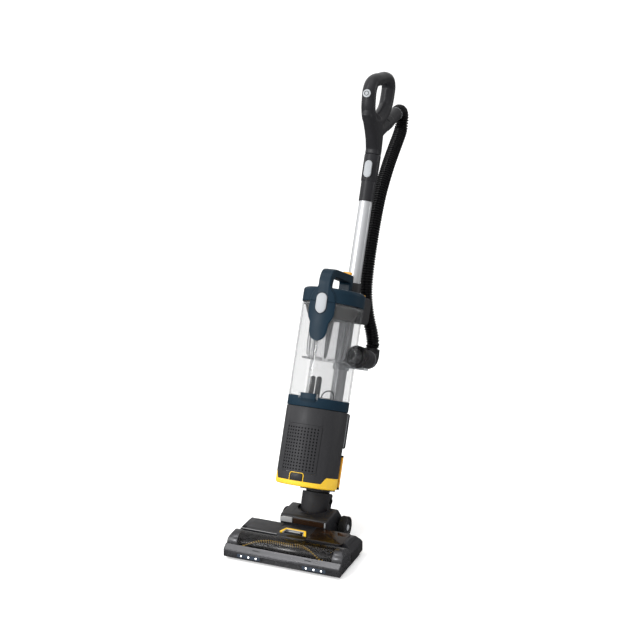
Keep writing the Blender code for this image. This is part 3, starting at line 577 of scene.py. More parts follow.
def cut(shape, *tools):
    return combine(shape, tools, "DIFFERENCE")


def join(shape, *tools):
    return combine(shape, tools, "UNION")


def soften(shape, width, segments=3, angle=32.0):
    """Round the sharp edges of a shape."""
    obj = scratch("soft", shape)
    edge = obj.modifiers.new("edges", "BEVEL")
    edge.width = width
    edge.segments = segments
    edge.limit_method = "ANGLE"
    edge.angle_limit = math.radians(angle)
    edge.use_clamp_overlap = True
    result = evaluated(obj)
    discard(obj)
    return result


def melt(shape, voxel, passes):
    """Fuse a shape into one skin with soft inner corners."""
    obj = scratch("melt", shape)
    remesh = obj.modifiers.new("skin", "REMESH")
    remesh.mode = "VOXEL"
    remesh.voxel_size = voxel
    smooth = obj.modifiers.new("calm", "SMOOTH")
    smooth.factor = 0.5
    smooth.iterations = passes
    result = evaluated(obj)
    discard(obj)
    return result


def piece(name, shape, body, look, stands_for=(), angle=32.0):
    """Put a shape in place as a named piece that rides on a body; with no body it is in place already."""
    if body:
        shape.transform(HEAD if body in ON_HEAD else BODY)
    obj = scratch(name, shape)
    obj.data.shade_smooth()
    obj.data.set_sharp_from_angle(angle=math.radians(angle))
    obj.data.materials.append(LOOKS[look])
    if body:
        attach(obj, body)
    if stands_for:
        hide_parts(*stands_for)
    return obj


def refined(node, look, width):
    """A CAD node's own shape with its edges rounded, as a piece that replaces it."""
    source = frame["nodes"][node]
    body = source["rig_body"]
    shape = bmesh.new()
    shape.from_mesh(source.data)
    shape.transform((HEAD if body in ON_HEAD else BODY).inverted())
    bmesh.ops.remove_doubles(shape, verts=shape.verts, dist=0.01)
    bmesh.ops.dissolve_limit(shape, angle_limit=math.radians(1.0), verts=shape.verts, edges=shape.edges)
    piece(f"{node}_shell", soften(shape, width), body, look, (node,))


# ---------------------------------------------------------------- camera, light and floor

def camera():
    data = bpy.data.cameras.new("camera")
    data.lens = CAMERA_LENS
    data.sensor_width = CAMERA_SENSOR
    data.clip_end = 200.0
    obj = bpy.data.objects.new("camera", data)
    bpy.context.scene.collection.objects.link(obj)
    obj.location = CAMERA_PLACE
    look = Vector((-math.sin(CAMERA_AZIMUTH) * math.cos(CAMERA_ELEVATION),
                   math.cos(CAMERA_AZIMUTH) * math.cos(CAMERA_ELEVATION), -math.sin(CAMERA_ELEVATION)))
    obj.rotation_euler = look.to_track_quat("-Z", "Y").to_euler()
    bpy.context.scene.camera = obj


def area_light(name, place, aim, size, power):
    data = bpy.data.lights.new(name, "AREA")
    data.shape = "RECTANGLE"
    data.size, data.size_y = size
    data.energy = power
    obj = bpy.data.objects.new(name, data)
    bpy.context.scene.collection.objects.link(obj)
    obj.location = place
    obj.rotation_euler = (Vector(aim) - Vector(place)).to_track_quat("-Z", "Y").to_euler()


def glint(name, at, tilt, distance, size, power):
    """A panel light standing where a forward surface tilted up by `tilt` degrees mirrors it to the camera."""
    to_camera = (CAMERA_PLACE - at).normalized()
    normal = Vector((0, -math.cos(math.radians(tilt)), math.sin(math.radians(tilt))))
    mirrored = 2 * normal.dot(to_camera) * normal - to_camera
    area_light(name, at + mirrored * distance, at, size, power)


def studio():
    """A white sweep under a dome that is bright from the front left and dimmer from the right; the sweep is
    painted dark for glossy rays, a painted shade in the reflections on the parts.
    """
    world = bpy.data.worlds.new("studio")
    world.use_nodes = True
    tree = world.node_tree
    background = tree.nodes["Background"]
    background.inputs["Color"].default_value = (1.0, 1.0, 1.0, 1.0)
    where = tree.nodes.new("ShaderNodeTexCoord")
    along = tree.nodes.new("ShaderNodeVectorMath")
    along.operation = "DOT_PRODUCT"
    along.inputs[1].default_value = Vector((-0.80, -0.45, 0.40)).normalized()
    ramp = tree.nodes.new("ShaderNodeMapRange")
    ramp.inputs["From Min"].default_value = -0.7
    ramp.inputs["From Max"].default_value = 0.9
    ramp.inputs["To Min"].default_value = 0.35
    ramp.inputs["To Max"].default_value = 1.30
    tree.links.new(where.outputs["Generated"], along.inputs[0])
    tree.links.new(along.outputs["Value"], ramp.inputs["Value"])
    tree.links.new(ramp.outputs["Result"], background.inputs["Strength"])
    bpy.context.scene.world = world

    floor = scratch("floor", box(-40, 40, -40, 40, -0.02, 0))
    nodes = Nodes("floor")
    rays = nodes.add("ShaderNodeLightPath")
    paper = nodes.blend(nodes.noise(3.0), (0.90, 0.90, 0.90), (0.92, 0.92, 0.92))
    # Painted shade in reflections: the floor shows dark grey to glossy rays, so the parts mirror no white
    # floor
    dark_in_reflections = nodes.blend(rays.outputs["Is Glossy Ray"], paper, (0.10, 0.10, 0.10))
    nodes.link(dark_in_reflections, nodes.shader.inputs["Base Color"])
    nodes.shader.inputs["Roughness"].default_value = 0.9
    nodes.shader.inputs["Specular IOR Level"].default_value = 0.1
    nodes.shader.inputs["Emission Color"].default_value = (1.0, 1.0, 1.0, 1.0)
    # The floor glows only for rays that are not glossy, so its glow never shows in reflections
    glow = nodes.remap(rays.outputs["Is Glossy Ray"], 0.30, 0.0)
    nodes.link(glow, nodes.shader.inputs["Emission Strength"])
    floor.data.materials.append(nodes.material)

    middle = PIVOT + LONG * 0.5
    area_light("key", (-2.2, -2.6, 2.3), middle, (0.9, 2.2), 36.0)
    area_light("top", (-0.15, -0.3, 3.4), middle, (2.2, 2.2), 20.0)
    front = HEAD @ Vector((35, span("bumper", HEAD)[0].y + 8, 30))
    glint("window", front, 33.0, 3.2, (0.34, 0.55), 24.0)
    glint("lip", front, 52.0, 3.6, (0.20, 0.50), 14.0)
    area_light("rim", (2.3, 1.4, 1.3), middle, (0.25, 1.8), 9.0)
    bpy.context.scene.view_settings.view_transform = "Standard"


# ---------------------------------------------------------------- hose

def hose():
    """The corrugated hose: ribs at an even pitch along the route."""
    route = [BODY @ (point / MM) for point in smooth_path(HOSE_ROUTE, 16)]
    steps_per_rib, groove_shape = 8, 1.15
    path, length = even_path(route, HOSE_PITCH / steps_per_rib)
    radii = []
    for i in range(len(path)):
        wave = 0.5 + 0.5 * math.cos(math.tau * i / steps_per_rib)
        radii.append(HOSE_DIAMETER / 2 - HOSE_DEPTH * (1 - wave) ** groove_shape)
    obj = piece("hose_skin", swept(path, radii, 28), None, "hose", ("hose",), angle=80)
    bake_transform(obj)


# ---------------------------------------------------------------- floor head

def front_bumper():
    low, high = span("bumper", HEAD)
    front, back, half = low.y, high.y, high.x
    lens_low, lens_high = span("led_lens_right", HEAD)
    profile = [(back, 6), (front + 5, 5), (front + 1.5, 7.5), (front + 0.4, 11), (front + 0.4, 21.5),
               (front + 1.6, 22.6), (front + 1.4, 23.4), (front - 0.4, 24.2), (front + 0.6, 26.4),
               (back - 2, 35.2), (back, 35.2)]
    recess = [(-56, 3), (56, 3), (56, 8), (46, 19.5), (-46, 19.5), (-56, 8)]
    panel = [(-54, 6.6), (54, 6.6), (54, 8), (45, 18.6), (-45, 18.6), (-54, 8)]
    lip = [(front + 1.2, 26.9), (front + 1.1, 27.3), (back - 2.2, 35.65), (back - 1.6, 35.4)]
    bulb = [(front + 1, 0.2), (front + 1, 2.0), (front + 0.2, 1.8), (front - 0.2, 1.0), (front - 0.3, 0.2)]

    def notch(side, z):
        return box(*beside(side, 57, 75), back - 9, back - 7.4, z, 40)

    tools = [prism_y(recess, front - 3, front + 3.2)]
    for side in (-1, 1):
        near, far = beside(side, lens_low.x, lens_high.x)
        tools.append(box(near - 0.4, far + 0.4, front - 3, front + 1.8, lens_low.z - 0.4, lens_high.z + 0.4))
        tools.append(notch(side, 30))
    bar = cut(prism_x(profile, -half, half), *tools)
    piece("bumper_shell", soften(bar, 0.7, 2), "head", "gunmetal", ("bumper",))
    piece("bumper_lip", cut(prism_x(lip, 2 - half, half - 2), notch(-1, 28), notch(1, 28)), "head", "brushed")
    piece("bumper_panel", soften(prism_y(panel, front + 2.4, front + 4), 0.4), "head", "brushed")
    for side, name in ((-1, "left"), (1, "right")):
        near, far = beside(side, lens_low.x, lens_high.x)
        strip = prism_y(rounded_rectangle(near, far, lens_low.z, lens_high.z, 2.5), front + 0.7, front + 3.5)
        piece(f"lamp_strip_{name}", soften(strip, 0.4), "head", "strip_blue", (f"led_lens_{name}",))
        lamps = [turned_y(bulb, side * x, 15.2, 24) for x in (64, 83, 102)]
        piece(f"lamps_{name}", merged(lamps), "head", "led")


def cap_circle():
    """Centre and radius, in the HEAD frame's y-z plane, of the round of the end caps and the window."""
    low, high = span("end_cap_right", HEAD)
    radius = (high.y - low.y) / 2
    return ((low.y + high.y) / 2, high.z - radius), radius


def end_caps():
    low, high = span("end_cap_right", HEAD)
    (y, z), radius = cap_circle()
    outline = arc((y, z), radius, 180, 0, 41) + [(high.y, low.z), (low.y, low.z)]
    for side, name in ((-1, "left"), (1, "right")):
        facet = [(side * (high.x + 4), z + 12), (side * (high.x - 9), high.z + 3),
                 (side * (high.x + 4), high.z + 3)]
        shape = cut(prism_x(outline, *beside(side, low.x, high.x)), prism_y(facet, low.y - 4, high.y + 4),
                    rod_x(*beside(side, low.x - 4, low.x + 9), y, z, 4.6))
        piece(f"end_cap_{name}_shell", soften(shape, 1.6, 4), "head", "gunmetal", (f"end_cap_{name}",))


def window():
    low, high = span("brush_window", HEAD)
    middle, outer = cap_circle()
    outline = arc(middle, outer, 162, 58, 41) + arc(middle, outer - 3, 58, 162, 41)
    pane = soften(prism_x(outline, low.x, high.x), 0.5, 2)
    piece("window_pane", pane, "window", "smoked", ("brush_window",))


def tuft_turn(x):
    """Where a tuft row stands round the roll: up at the middle, forward and down at the ends."""
    if x < 17:
        return math.pi * (0.60 + 0.36 * max(0.0, (-x - 42) / 68) ** 1.5)
    return math.pi * (0.55 + 0.41 * max(0.0, (x - 34) / 56) ** 1.3)


def brush():
    """The roll's dark core, rubber fins, and two chevron rows of separate tufts."""
    low, high = span("brush_roll", HEAD)
    _, y, z = centre(low, high)
    tip = high.x
    tufts_in_row, fin_steps = 38, 52

    def at(x, turn, radius):
        return Vector((x, y + radius * math.cos(turn), z + radius * math.sin(turn)))

    tufts, fins = [], []
    for half_turn in (0.0, math.pi):
        for i in range(tufts_in_row):
            x = -110 + 208 * i / (tufts_in_row - 1)
            turn = tuft_turn(x) + half_turn
            tufts.append(rod_between(at(x, turn, 14), at(x, turn, 24.6), 1.2, 8, 1.8))
        rings = []
        for i in range(fin_steps + 1):
            x = -112 + 210 * i / fin_steps
            turn = 0.05 * math.pi + 0.5 * math.pi * abs(x + 7) / 105 + half_turn
            section = ((13, 0.10), (23.0, 0.05), (23.0, -0.05), (13, -0.10))
            rings.append([at(x, turn + spread, r) for r, spread in section])
        fins.append(loft(rings))
    core = [(-tip, 0.5), (-tip, 4), (-116, 4), (-116, 15), (-114, 16), (100, 16), (102, 15), (102, 8),
            (106, 8), (106, 12), (114, 12), (114, 4), (tip, 4), (tip, 0.5)]
    piece("brush_core", turned_x(core, y, z), "brush", "gloss_black", ("brush_roll",))
    piece("brush_fins", merged(fins), "brush", "rubber")
    piece("brush_tufts", merged(tufts), "brush", "bristle")


def deck():
    """The head cover with its light front edge, soft pad, brown gloss panel and the hood over the latch."""
    refined("head_cover", "charcoal_soft", 1.4)
    low, high = span("head_cover", HEAD)
    front, top = low.y, high.z
    edge = box(-138, -38, front - 0.2, front + 1.0, top - 0.9, top + 0.25)
    pad = prism_z(rounded_rectangle(-118, -44, -124, -72, 6), top - 0.5, top + 0.35)
    gloss = prism_z(rounded_rectangle(38, 126, -131, -68, 5), top - 0.5, top + 0.4)
    patch = prism_z([(62, -72), (118, -72), (118, -88), (56, -88)], top - 0.5, top + 0.6)
    bar = prism_z([(78, -70), (92, -70), (100, -90), (88, -90)], top - 1, top + 3)
    hood = prism_x([(front - 6.5, top - 2.6), (front - 5, top - 0.4), (front + 2, top + 1.5),
                    (front + 12, top + 2.0), (front + 12, top - 1), (front + 1, top - 3)], -36, 36)
    piece("deck_edge", soften(edge, 0.3), "head", "trim_grey")
    piece("deck_pad", soften(pad, 0.3), "head", "charcoal")
    piece("deck_gloss", soften(gloss, 0.3), "head", "brown_gloss")
    piece("deck_patch", soften(cut(patch, bar), 0.15), "head", "brown_glow")
    piece("deck_hood", soften(hood, 0.8), "head", "gloss_black")


def window_latch():
    """A sliding latch: a yellow frame, open to the front, round a silver rim and a dark plate."""
    low, high = span("window_latch", HEAD)
    front, rear, half = low.y, high.y, high.x

    def outline(inset, reach=0.0):
        return [(-half + inset * 1.5, front - reach), (-half + 8 + inset * 0.6, rear - inset),
                (half - 9 - inset * 0.6, rear - inset), (half - inset * 1.5, front - reach)]

    def band(outer, inner, z0, z1):
        return prism_z(outline(outer, 5.0) + outline(inner, 5.0)[::-1], z0, z1)

    plate = prism_z(outline(0.8), low.z, high.z - 1.6)
    grip = prism_z(rounded_rectangle(-15, 15, front + 2.5, front + 6.5, 1.8), high.z - 2, high.z - 0.9)
    for name, shape, width, look, nodes in (
            ("latch_plate_dark", plate, 0.5, "gloss_black", ("window_latch",)),
            ("latch_frame", band(0.0, 4.6, low.z + 0.2, high.z + 0.6), 0.7, "yellow", ()),
            ("latch_rim", band(4.9, 6.2, low.z + 0.4, high.z), 0.3, "aluminium", ()),
            ("latch_grip", grip, 0.4, "light_grey", ())):
        piece(name, soften(shape, width), "window_catch", look, nodes)


def rear_box():
    """The raised box behind the deck: brown panel, light facet and strip, and the recess round the neck."""
    refined("rear_housing", "charcoal_soft", 1.0)
    recess = box(-38.4, 38.4, -33, 0, 50, span("rear_housing", HEAD)[1].z - 0.3)
    neck_oval = loft([[(38.3 * a, 32.6 * b, z) for a, b in circle(1.0)] for z in (40, 90)])
    piece("neck_recess", cut(recess, neck_oval), "head", "charcoal_soft")
    low, high = span("inspection_cover", HEAD)
    face = low.y
    cover = prism_y(rounded_rectangle(low.x, high.x, low.z, high.z + 1, 1.2), face - 0.4, face + 2.8)
    piece("inspection_panel", soften(cover, 0.4), "head", "brown_glow", ("inspection_cover",))
    facet = [(-60, low.z), (-60, high.z - 2), (-52, high.z + 1.5), (-28.5, high.z + 1.5), (-28.5, low.z)]
    piece("side_facet", soften(prism_y(facet, face, face + 3.4), 0.5), "head", "trim_grey")
    strip = box(high.x + 0.6, high.x + 3.4, face - 0.1, face + 3, low.z + 0.6, high.z + 0.6)
    piece("side_strip", soften(strip, 0.4), "head", "light_grey")


def wheels():
    """Both rear wheels: a grooved tyre, a dished hub and a light cap, turned from one set of profiles."""
    for side, name in ((-1, "left"), (1, "right")):
        low, high = span(f"wheel_tyre_{name}", HEAD)
        _, y, z = centre(low, high)
        radius = high.z - z
        inner, outer = sorted((abs(low.x), abs(high.x)))

        def turned(profile, count):
            return turned_x([(side * x, r) for x, r in profile], y, z, count)

        tread = [(inner + 2, 21.3), (inner, 23), (inner, radius - 2), (inner + 2, radius)]
        for x in (inner + 5, inner + 9, inner + 13):
            tread += [(x - 0.8, radius), (x - 0.5, radius - 0.9), (x + 0.5, radius - 0.9), (x + 0.8, radius)]
        tread += [(outer - 2, radius), (outer - 0.5, radius - 0.8), (outer, radius - 2.5), (outer, 23),
                  (outer - 2, 21.3)]
        hub = [(inner + 1, 4.4), (inner + 1, 12), (inner + 5, 14), (inner + 3, 21), (outer - 2.6, 21),
               (outer - 1.4, 20.2), (outer - 1.6, 17.5), (outer - 3.4, 16.5), (outer - 3.4, 10),
               (outer - 1.4, 8.5), (outer - 0.6, 4.4)]
        cap = [(outer - 0.9, 0.2), (outer - 0.9, 7.6), (outer + 0.1, 7.0), (outer + 0.6, 4.5),
               (outer + 0.8, 0.2)]
        body = f"wheel_{name}"
        piece(f"tyre_{name}", turned(tread, 96), body, "rubber", (f"wheel_tyre_{name}",))
        piece(f"hub_{name}", turned(hub, 96), body, "gunmetal", (f"wheel_hub_{name}",))
        piece(f"hub_cap_{name}", turned(cap, 48), body, "light_grey")


# ---------------------------------------------------------------- neck and spine

def neck():
    low, high = span("neck", BODY)
    top = high.z
    barrel = rod_x(low.x, high.x, 0, 0, 32.3)
    column = oval_column([(6, 0, 34, 26), (18, 0, 34.4, 27.4), (44, 0, 34.6, 28.4), (52, 0, 35, 28.6),
                          (top, 0, 35, 29)])
    bmesh.ops.translate(column, verts=column.verts, vec=(-3, 0, 0))
    back = soften(box(-27, 27, 5, high.y, 32, top), 4.5, 5)
    shape = cut(join(barrel, column, back), rod_z(0, top + 3, 0, 0, 18),
                rod_x(low.x - 3, high.x + 3, 0, 0, 8.3))
    piece("neck_shell", soften(shape, 0.6, 2, 40), "yoke", "charcoal_soft", ("neck",))
    refined("cord_gland", "rubber", 0.5)
    refined("swivel_collar", "gloss_black", 0.4)


def spine():
    """The spine base and its covers, the silver pipe, and the dock head with what it holds."""
    refined("spine_base", "charcoal_soft", 0.8)
    refined("rear_cover", "charcoal", 1.5)
    low, high = span("rear_cover", BODY)
    for side, name in ((-1, "left"), (1, "right")):
        line = [(side * x, y) for x, y in ((high.x - 0.6, low.y - 0.2), (high.x + 0.5, low.y - 0.2),
                                           (high.x + 0.5, low.y + 1.6), (high.x - 0.6, low.y + 1.6))]
        piece(f"rear_line_{name}", soften(prism_z(line, low.z + 4, high.z - 3), 0.3), "spine", "light_grey")
    heel()
    low, high = span("spine_tube", BODY)
    inner = TUBE_RADIUS - 1.5
    pipe = [(inner, low.z), (TUBE_RADIUS, low.z), (TUBE_RADIUS, high.z), (inner, high.z)]
    piece("spine_pipe", turned_z(pipe, 0, TUBE_Y, 96), "spine", "aluminium", ("spine_tube",))
    refined("dock_head", "charcoal", 1.5)
    refined("wand_release_bar", "orange", 0.6)
    refined("cuff_cradle", "light_grey", 0.6)


def heel():
    """The yellow heel behind the spine base, with dark end caps and grip grooves."""
    low, high = span("spine_heel", BODY)
    outline = rounded_rectangle(low.x, high.x, low.y - 8, high.y, 4.5)
    outline = [(x, max(y, low.y)) for x, y in outline]
    body = prism_z(outline, low.z + 6, high.z - 5)
    grooves = [box(low.x - 2, high.x + 2, high.y - 0.7, high.y + 2, z, z + 1.6)
               for z in (low.z + 34 + 6 * i for i in range(4))]
    piece("heel_body", soften(cut(body, *grooves), 0.5, 2), "spine", "orange", ("spine_heel",))
    for name, z0, z1 in (("low", low.z, low.z + 5.8), ("top", high.z - 4.8, high.z)):
        piece(f"heel_cap_{name}", soften(prism_z(outline, z0, z1), 1.2), "spine", "black")


def hose_fittings():
    """The cuff beside the bin, with its dark ring and light rim, and the elbow up to the hose."""
    low, high = span("hose_cuff", BODY)
    x, _, z = centre(low, high)
    near, far = low.y, high.y
    ring = high.x - x
    radius, bore = ring - 3.5, 17.5
    sleeve = [(near, bore), (near, ring - 1.5), (near + 1.5, ring), (0, ring), (2, ring - 1), (3, radius),
              (far - 6, radius), (far - 6, radius - 0.6), (far - 5, radius - 0.6), (far - 5, radius),
              (far, radius), (far, bore)]
    front = [(near - 0.3, bore + 0.3), (near - 0.3, ring - 0.8), (near + 1.6, ring + 0.6), (8.0, ring + 0.6),
             (9.5, ring - 0.6), (9.5, radius + 0.3), (4.0, radius + 0.3), (1.0, ring + 0.15),
             (near + 1.6, ring + 0.15), (near + 0.2, ring - 1.6), (near + 0.2, bore + 0.3)]
    rim = [(far - 6.2, radius - 0.5), (far - 6.2, radius + 0.35), (far - 5.2, radius + 0.35),
           (far - 5.2, radius - 0.5)]
    piece("cuff_sleeve", turned_y(sleeve, x, z, 96), "spine", "charcoal_soft", ("hose_cuff",))
    piece("cuff_ring", turned_y(front, x, z, 96), "spine", "gloss_black")
    piece("cuff_rim", turned_y(rim, x, z, 96), "spine", "light_grey")

    elbow = span("hose_elbow", BODY)[1]
    corner = 18.0
    hose_y = elbow.y - 22.9
    bend = [Vector((x, hose_y - corner + corner * math.sin(a), z + corner - corner * math.cos(a)))
            for a in (math.radians(90) * i / 16 for i in range(17))]
    path, _ = even_path([Vector((x, far + 0.3, z))] + bend + [Vector((x, hose_y, elbow.z))], 2.0)
    outer = swept(path, [23.0 - 3.0 * i / (len(path) - 1) for i in range(len(path))], 64)
    through = [path[0] - Vector((0, 3, 0))] + path[1:-1] + [path[-1] + Vector((0, 0, 3))]
    shape = cut(outer, swept(through, [15.0] * len(path), 48))
    piece("elbow_shell", soften(shape, 0.6, 2, 50), "spine", "gloss_black", ("hose_elbow",))


# ---------------------------------------------------------------- pod

BAND_TOP, BAND_STEP = 100.0, 116.0
BAND_RAMP = (math.radians(48.0), math.radians(58.0))
GRILLE = {"columns": 11, "rows": 14, "middle": -2.6, "half": 39.6, "low": 127.0, "high": 225.0, "radius": 2.0}


def band_height(angle):
    from_front = abs(math.remainder(angle + math.pi / 2, math.tau))
    share = min(max((from_front - BAND_RAMP[0]) / (BAND_RAMP[1] - BAND_RAMP[0]), 0.0), 1.0)
    return BAND_TOP + (BAND_STEP - BAND_TOP) * share


def motor_unit():
    """The pod's casing and yellow band, the exhaust door, and the door's latch in its yellow bead."""
    inner, top = POD_RADIUS - 3.0, POD_TOP

    def housing(angle):
        low = band_height(angle) + 0.3
        return [(inner, low), (POD_RADIUS - 0.4, low), (POD_RADIUS, low + 0.4), (POD_RADIUS, top - 1.5),
                (POD_RADIUS - 0.5, top - 0.5), (POD_RADIUS - 1.5, top), (24, top), (24, top - 4),
                (inner, top - 4)]

    def band(angle):
        low, high = BAND_LOW, band_height(angle)
        return [(18, low), (POD_RADIUS - 5.5, low), (POD_RADIUS - 2.8, low + 0.7),
                (POD_RADIUS - 0.8, low + 2.6), (POD_RADIUS, low + 5.5), (POD_RADIUS, high - 0.3),
                (POD_RADIUS - 0.3, high), (inner, high), (inner, low + 8), (inner - 4, low + 4),
                (18, low + 4)]

    door_low, door_high = span("filter_door", BODY)
    door = math.asin(door_high.x / (POD_RADIUS + 0.8)) * POD_RADIUS
    latch_low, latch_high = span("door_latch", BODY)
    latch = math.asin(latch_high.x / (POD_RADIUS + 2)) * POD_RADIUS
    opening = pod_plate(door + 0.5, door_low.z - 0.5, door_high.z + 0.5, inner - 5, POD_RADIUS + 5)
    slot = pod_plate(latch + 1.5, latch_low.z - 0.5, latch_high.z + 0.5, inner - 5, POD_RADIUS + 5)
    piece("pod_casing", cut(turned_pod(housing), opening, slot), "pod", "charcoal", ("motor_housing",))
    piece("pod_band", turned_pod(band), "pod", "yellow", ("base_band",))
    filter_door(door, door_low.z, door_high.z, inner)
    tongue = pod_plate(latch, latch_low.z, latch_high.z, inner, POD_RADIUS + 1.2, edge=0.8)
    piece("latch_tongue", soften(tongue, 0.4), "vent_catch", "charcoal_soft", ("door_latch",))

    def arch(half, top, radius):
        return ([(-half, BAND_TOP - 1)] + arc((-half + radius, top - radius), radius, 180, 90, 7)
                + arc((half - radius, top - radius), radius, 90, 0, 7) + [(half, BAND_TOP - 1)])

    half, high, bead = 16.5, latch_high.z + 1.5, 1.6
    rings = ribbon(arch(half + bead, high + bead, 6.0), arch(half, high, 4.4), on_pod, POD_RADIUS - 0.5,
                   POD_RADIUS + 1.0)
    piece("latch_bead", soften(loft(rings), 0.4), "pod", "yellow")


def filter_door(half, low, high, inner):
    """The exhaust door: a curved plate with a grid of real holes inside a shallow rounded frame, and a
    near-black sheet just behind it as painted shade in the holes.
    """
    outer = POD_RADIUS + 0.15
    holes = []
    for row in range(GRILLE["rows"]):
        z = GRILLE["low"] + (GRILLE["high"] - GRILLE["low"]) * row / (GRILLE["rows"] - 1)
        for column in range(GRILLE["columns"]):
            u = GRILLE["middle"] + GRILLE["half"] * (2 * column / (GRILLE["columns"] - 1) - 1)
            holes.append(rod_between(on_pod(u, z, inner - 3), on_pod(u, z, outer + 3), GRILLE["radius"], 10))
    groove = ribbon(rounded_rectangle(-46, 46, 121.5, 232, 7),
                    rounded_rectangle(-45.2, 45.2, 122.3, 231.2, 6.2), on_pod, outer - 0.35, outer + 2)
    plate = cut(pod_plate(half, low, high, inner, outer, count=49, edge=0.4), merged(holes))
    plate = cut(plate, loft(groove, closed=True))
    # Painted shade: a near-black sheet just inside the plate makes the holes read dark
    hole_shade_sheet = pod_plate(half - 2, low + 2, high - 2, inner - 0.9, inner + 0.7, count=49)
    piece("vent_hole_shade", hole_shade_sheet, "vent_door", "recess")
    piece("vent_door", plate, "vent_door", "charcoal", ("filter_door",), angle=40)


# ---------------------------------------------------------------- bin and lid

PLATE_OUTER = 80.0
PLATE_SPLIT = LID_LOW - 0.15
PLATE_FACE = POD_Y - PLATE_OUTER
# The front plate's half width at each height, from its round foot up to the carry handle
PLATE_WIDTHS = (
    (433, 1.0), (434, 6), (436, 10.5), (440, 16), (446, 20.5), (454, 23.0), (464, 24.0), (472, 24.4),
    (477, 25.0), (482, 28.0), (487, 31.5), (493, 34.0), (502, 35.0), (518, 35.2), (533, 33.5), (545, 30),
    (553, 24.5), (560, 18.5), (566, 15.6), (575, 15.0),
)


def plate_half(z):
    for (z0, w0), (z1, w1) in zip(PLATE_WIDTHS, PLATE_WIDTHS[1:]):
        if z <= z1:
            t = min(max((z - z0) / (z1 - z0), 0.0), 1.0)
            return w0 + (w1 - w0) * t
    return PLATE_WIDTHS[-1][1]


def front_plate(low, high, inner):
    """The navy plate on the front, whose half width follows its outline, with rounded edges."""
    steps = max(2, round((high - low) / 2.0))
    rings = []
    for i in range(steps + 1):
        z = low + (high - low) * i / steps
        half = plate_half(z)
        edge = min(2.2, half * 0.45)
        section = [(-half, inner), (-half, PLATE_OUTER - 2.2), (-half + edge * 0.35, PLATE_OUTER - 0.7)]
        section += [(-half + edge + (2 * half - 2 * edge) * k / 16, PLATE_OUTER) for k in range(17)]
        section += [(half - edge * 0.35, PLATE_OUTER - 0.7), (half, PLATE_OUTER - 2.2), (half, inner)]
        rings.append([(r * math.sin(u / PLATE_OUTER), POD_Y - r * math.cos(u / PLATE_OUTER), z)
                      for u, r in section])
    return loft(rings)


def button_pocket():
    outline = pill(14.8, 498.5, 549.5, 17, 2.0)
    return prism_y(outline, PLATE_FACE - 4, PLATE_FACE + 2.4)


def domed_key(outline, middle, face, steps):
    """A push key on a forward face: its outline drawn in towards a middle height, step by step."""
    return loft([[(x * scale, face + depth, middle + (z - middle) * scale) for x, z in outline]
                 for depth, scale in steps])


def bin_unit():
    """The clear bin and its inlet, ring, floor, tower and clip, and the front plate's lower half."""
    inlet_x, _, inlet_z = centre(*span("hose_cuff", BODY))
    radius, wall = POD_RADIUS, 2.5
    low, high = BIN_LOW.z, BIN_HIGH.z
    shell = [(radius - wall, low), (radius, low), (radius, high - 8), (radius + 0.7, high - 7),
             (radius + 0.7, high - 4), (radius, high - 3), (radius, high), (radius - wall, high)]
    shape = join(turned_pod(shell), rod_y(-62, BIN_HIGH.y, inlet_x, inlet_z, 17))
    shape = cut(shape, rod_y(-70, 12, inlet_x, inlet_z, 15), rod_z(low + 5, high - 12, 0, POD_Y, 59, 96))
    piece("bin_wall", shape, "bin", "clear", ("bin_shell",))

    base, top = RING_LOW, BIN_LOW.z - 0.3
    ring = [(31, base), (radius - 3, base), (radius - 0.4, base + 0.8), (radius + 0.3, base + 3),
            (radius + 0.3, top - 0.5), (radius - 0.3, top), (radius - 4, top), (radius - 4, base + 4),
            (31, base + 4)]
    floor = [(34.4, base + 4.2), (radius - 4.4, base + 4.2), (radius - 4.4, top + 2), (radius - 5.4, top + 2),
             (radius - 5.8, base + 6), (34.4, base + 6)]
    tower = [(31, base + 4.3), (34, base + 4.3), (34, 389), (33, 390), (31, 390)]
    piece("bin_ring", turned_pod(ring), "bin", "navy", ("bin_base",))
    piece("bin_floor", turned_pod(floor), "bin", "tower")
    piece("bin_tower", turned_pod(tower), "bin", "tower")

    half = 6.6
    outline = [(-half, top - 2)] + arc((0, 352 - half), half, 180, 0, 9) + [(half, top - 2)]
    vents = [loft([[round_pod(r, math.radians(bearing) + u / 34.0, z) for u, z in outline]
                   for r in (30.0, 35.2)]) for bearing in (-110.0, -80.0)]
    piece("tower_vents", soften(merged(vents), 0.3, 2), "bin", "charcoal_soft")
    foot = (0, top + 2)
    arch = ribbon(arc(foot, 20.0, 0, 180, 25), arc(foot, 17.4, 0, 180, 25),
                  lambda u, z, r: round_pod(r, math.radians(-37) + u / 42.0, z), 40.5, 42.5)
    piece("flap_arch", soften(loft(arch), 0.3, 2), "bin", "charcoal_soft")

    clip_low, clip_high = span("bin_clip", BODY)
    tongue = pod_plate(19, clip_low.z, clip_high.z - 2, POD_RADIUS + 1.0, POD_RADIUS + 4.6, edge=1.2)
    lip = pod_plate(17, clip_low.z + 3, clip_low.z + 6, POD_RADIUS + 3.8, POD_RADIUS + 5.6, edge=0.8)
    piece("clip_tongue", soften(join(tongue, lip), 0.7), "bin_catch", "navy", ("bin_clip",))
    ears = [pod_prism(rounded_rectangle(u - 2.3, u + 2.3, top - 6, top + 9, 2.0), POD_RADIUS + 0.2,
                      POD_RADIUS + 4.2) for u in (-22.3, 22.3)]
    piece("clip_ears", soften(merged(ears), 0.6), "bin", "cone")
    lower = cut(front_plate(433, PLATE_SPLIT - 0.15, POD_RADIUS + 0.3), button_pocket())
    piece("plate_lower", soften(lower, 0.4, 2, 50), "bin", "navy", ("latch_plate",))


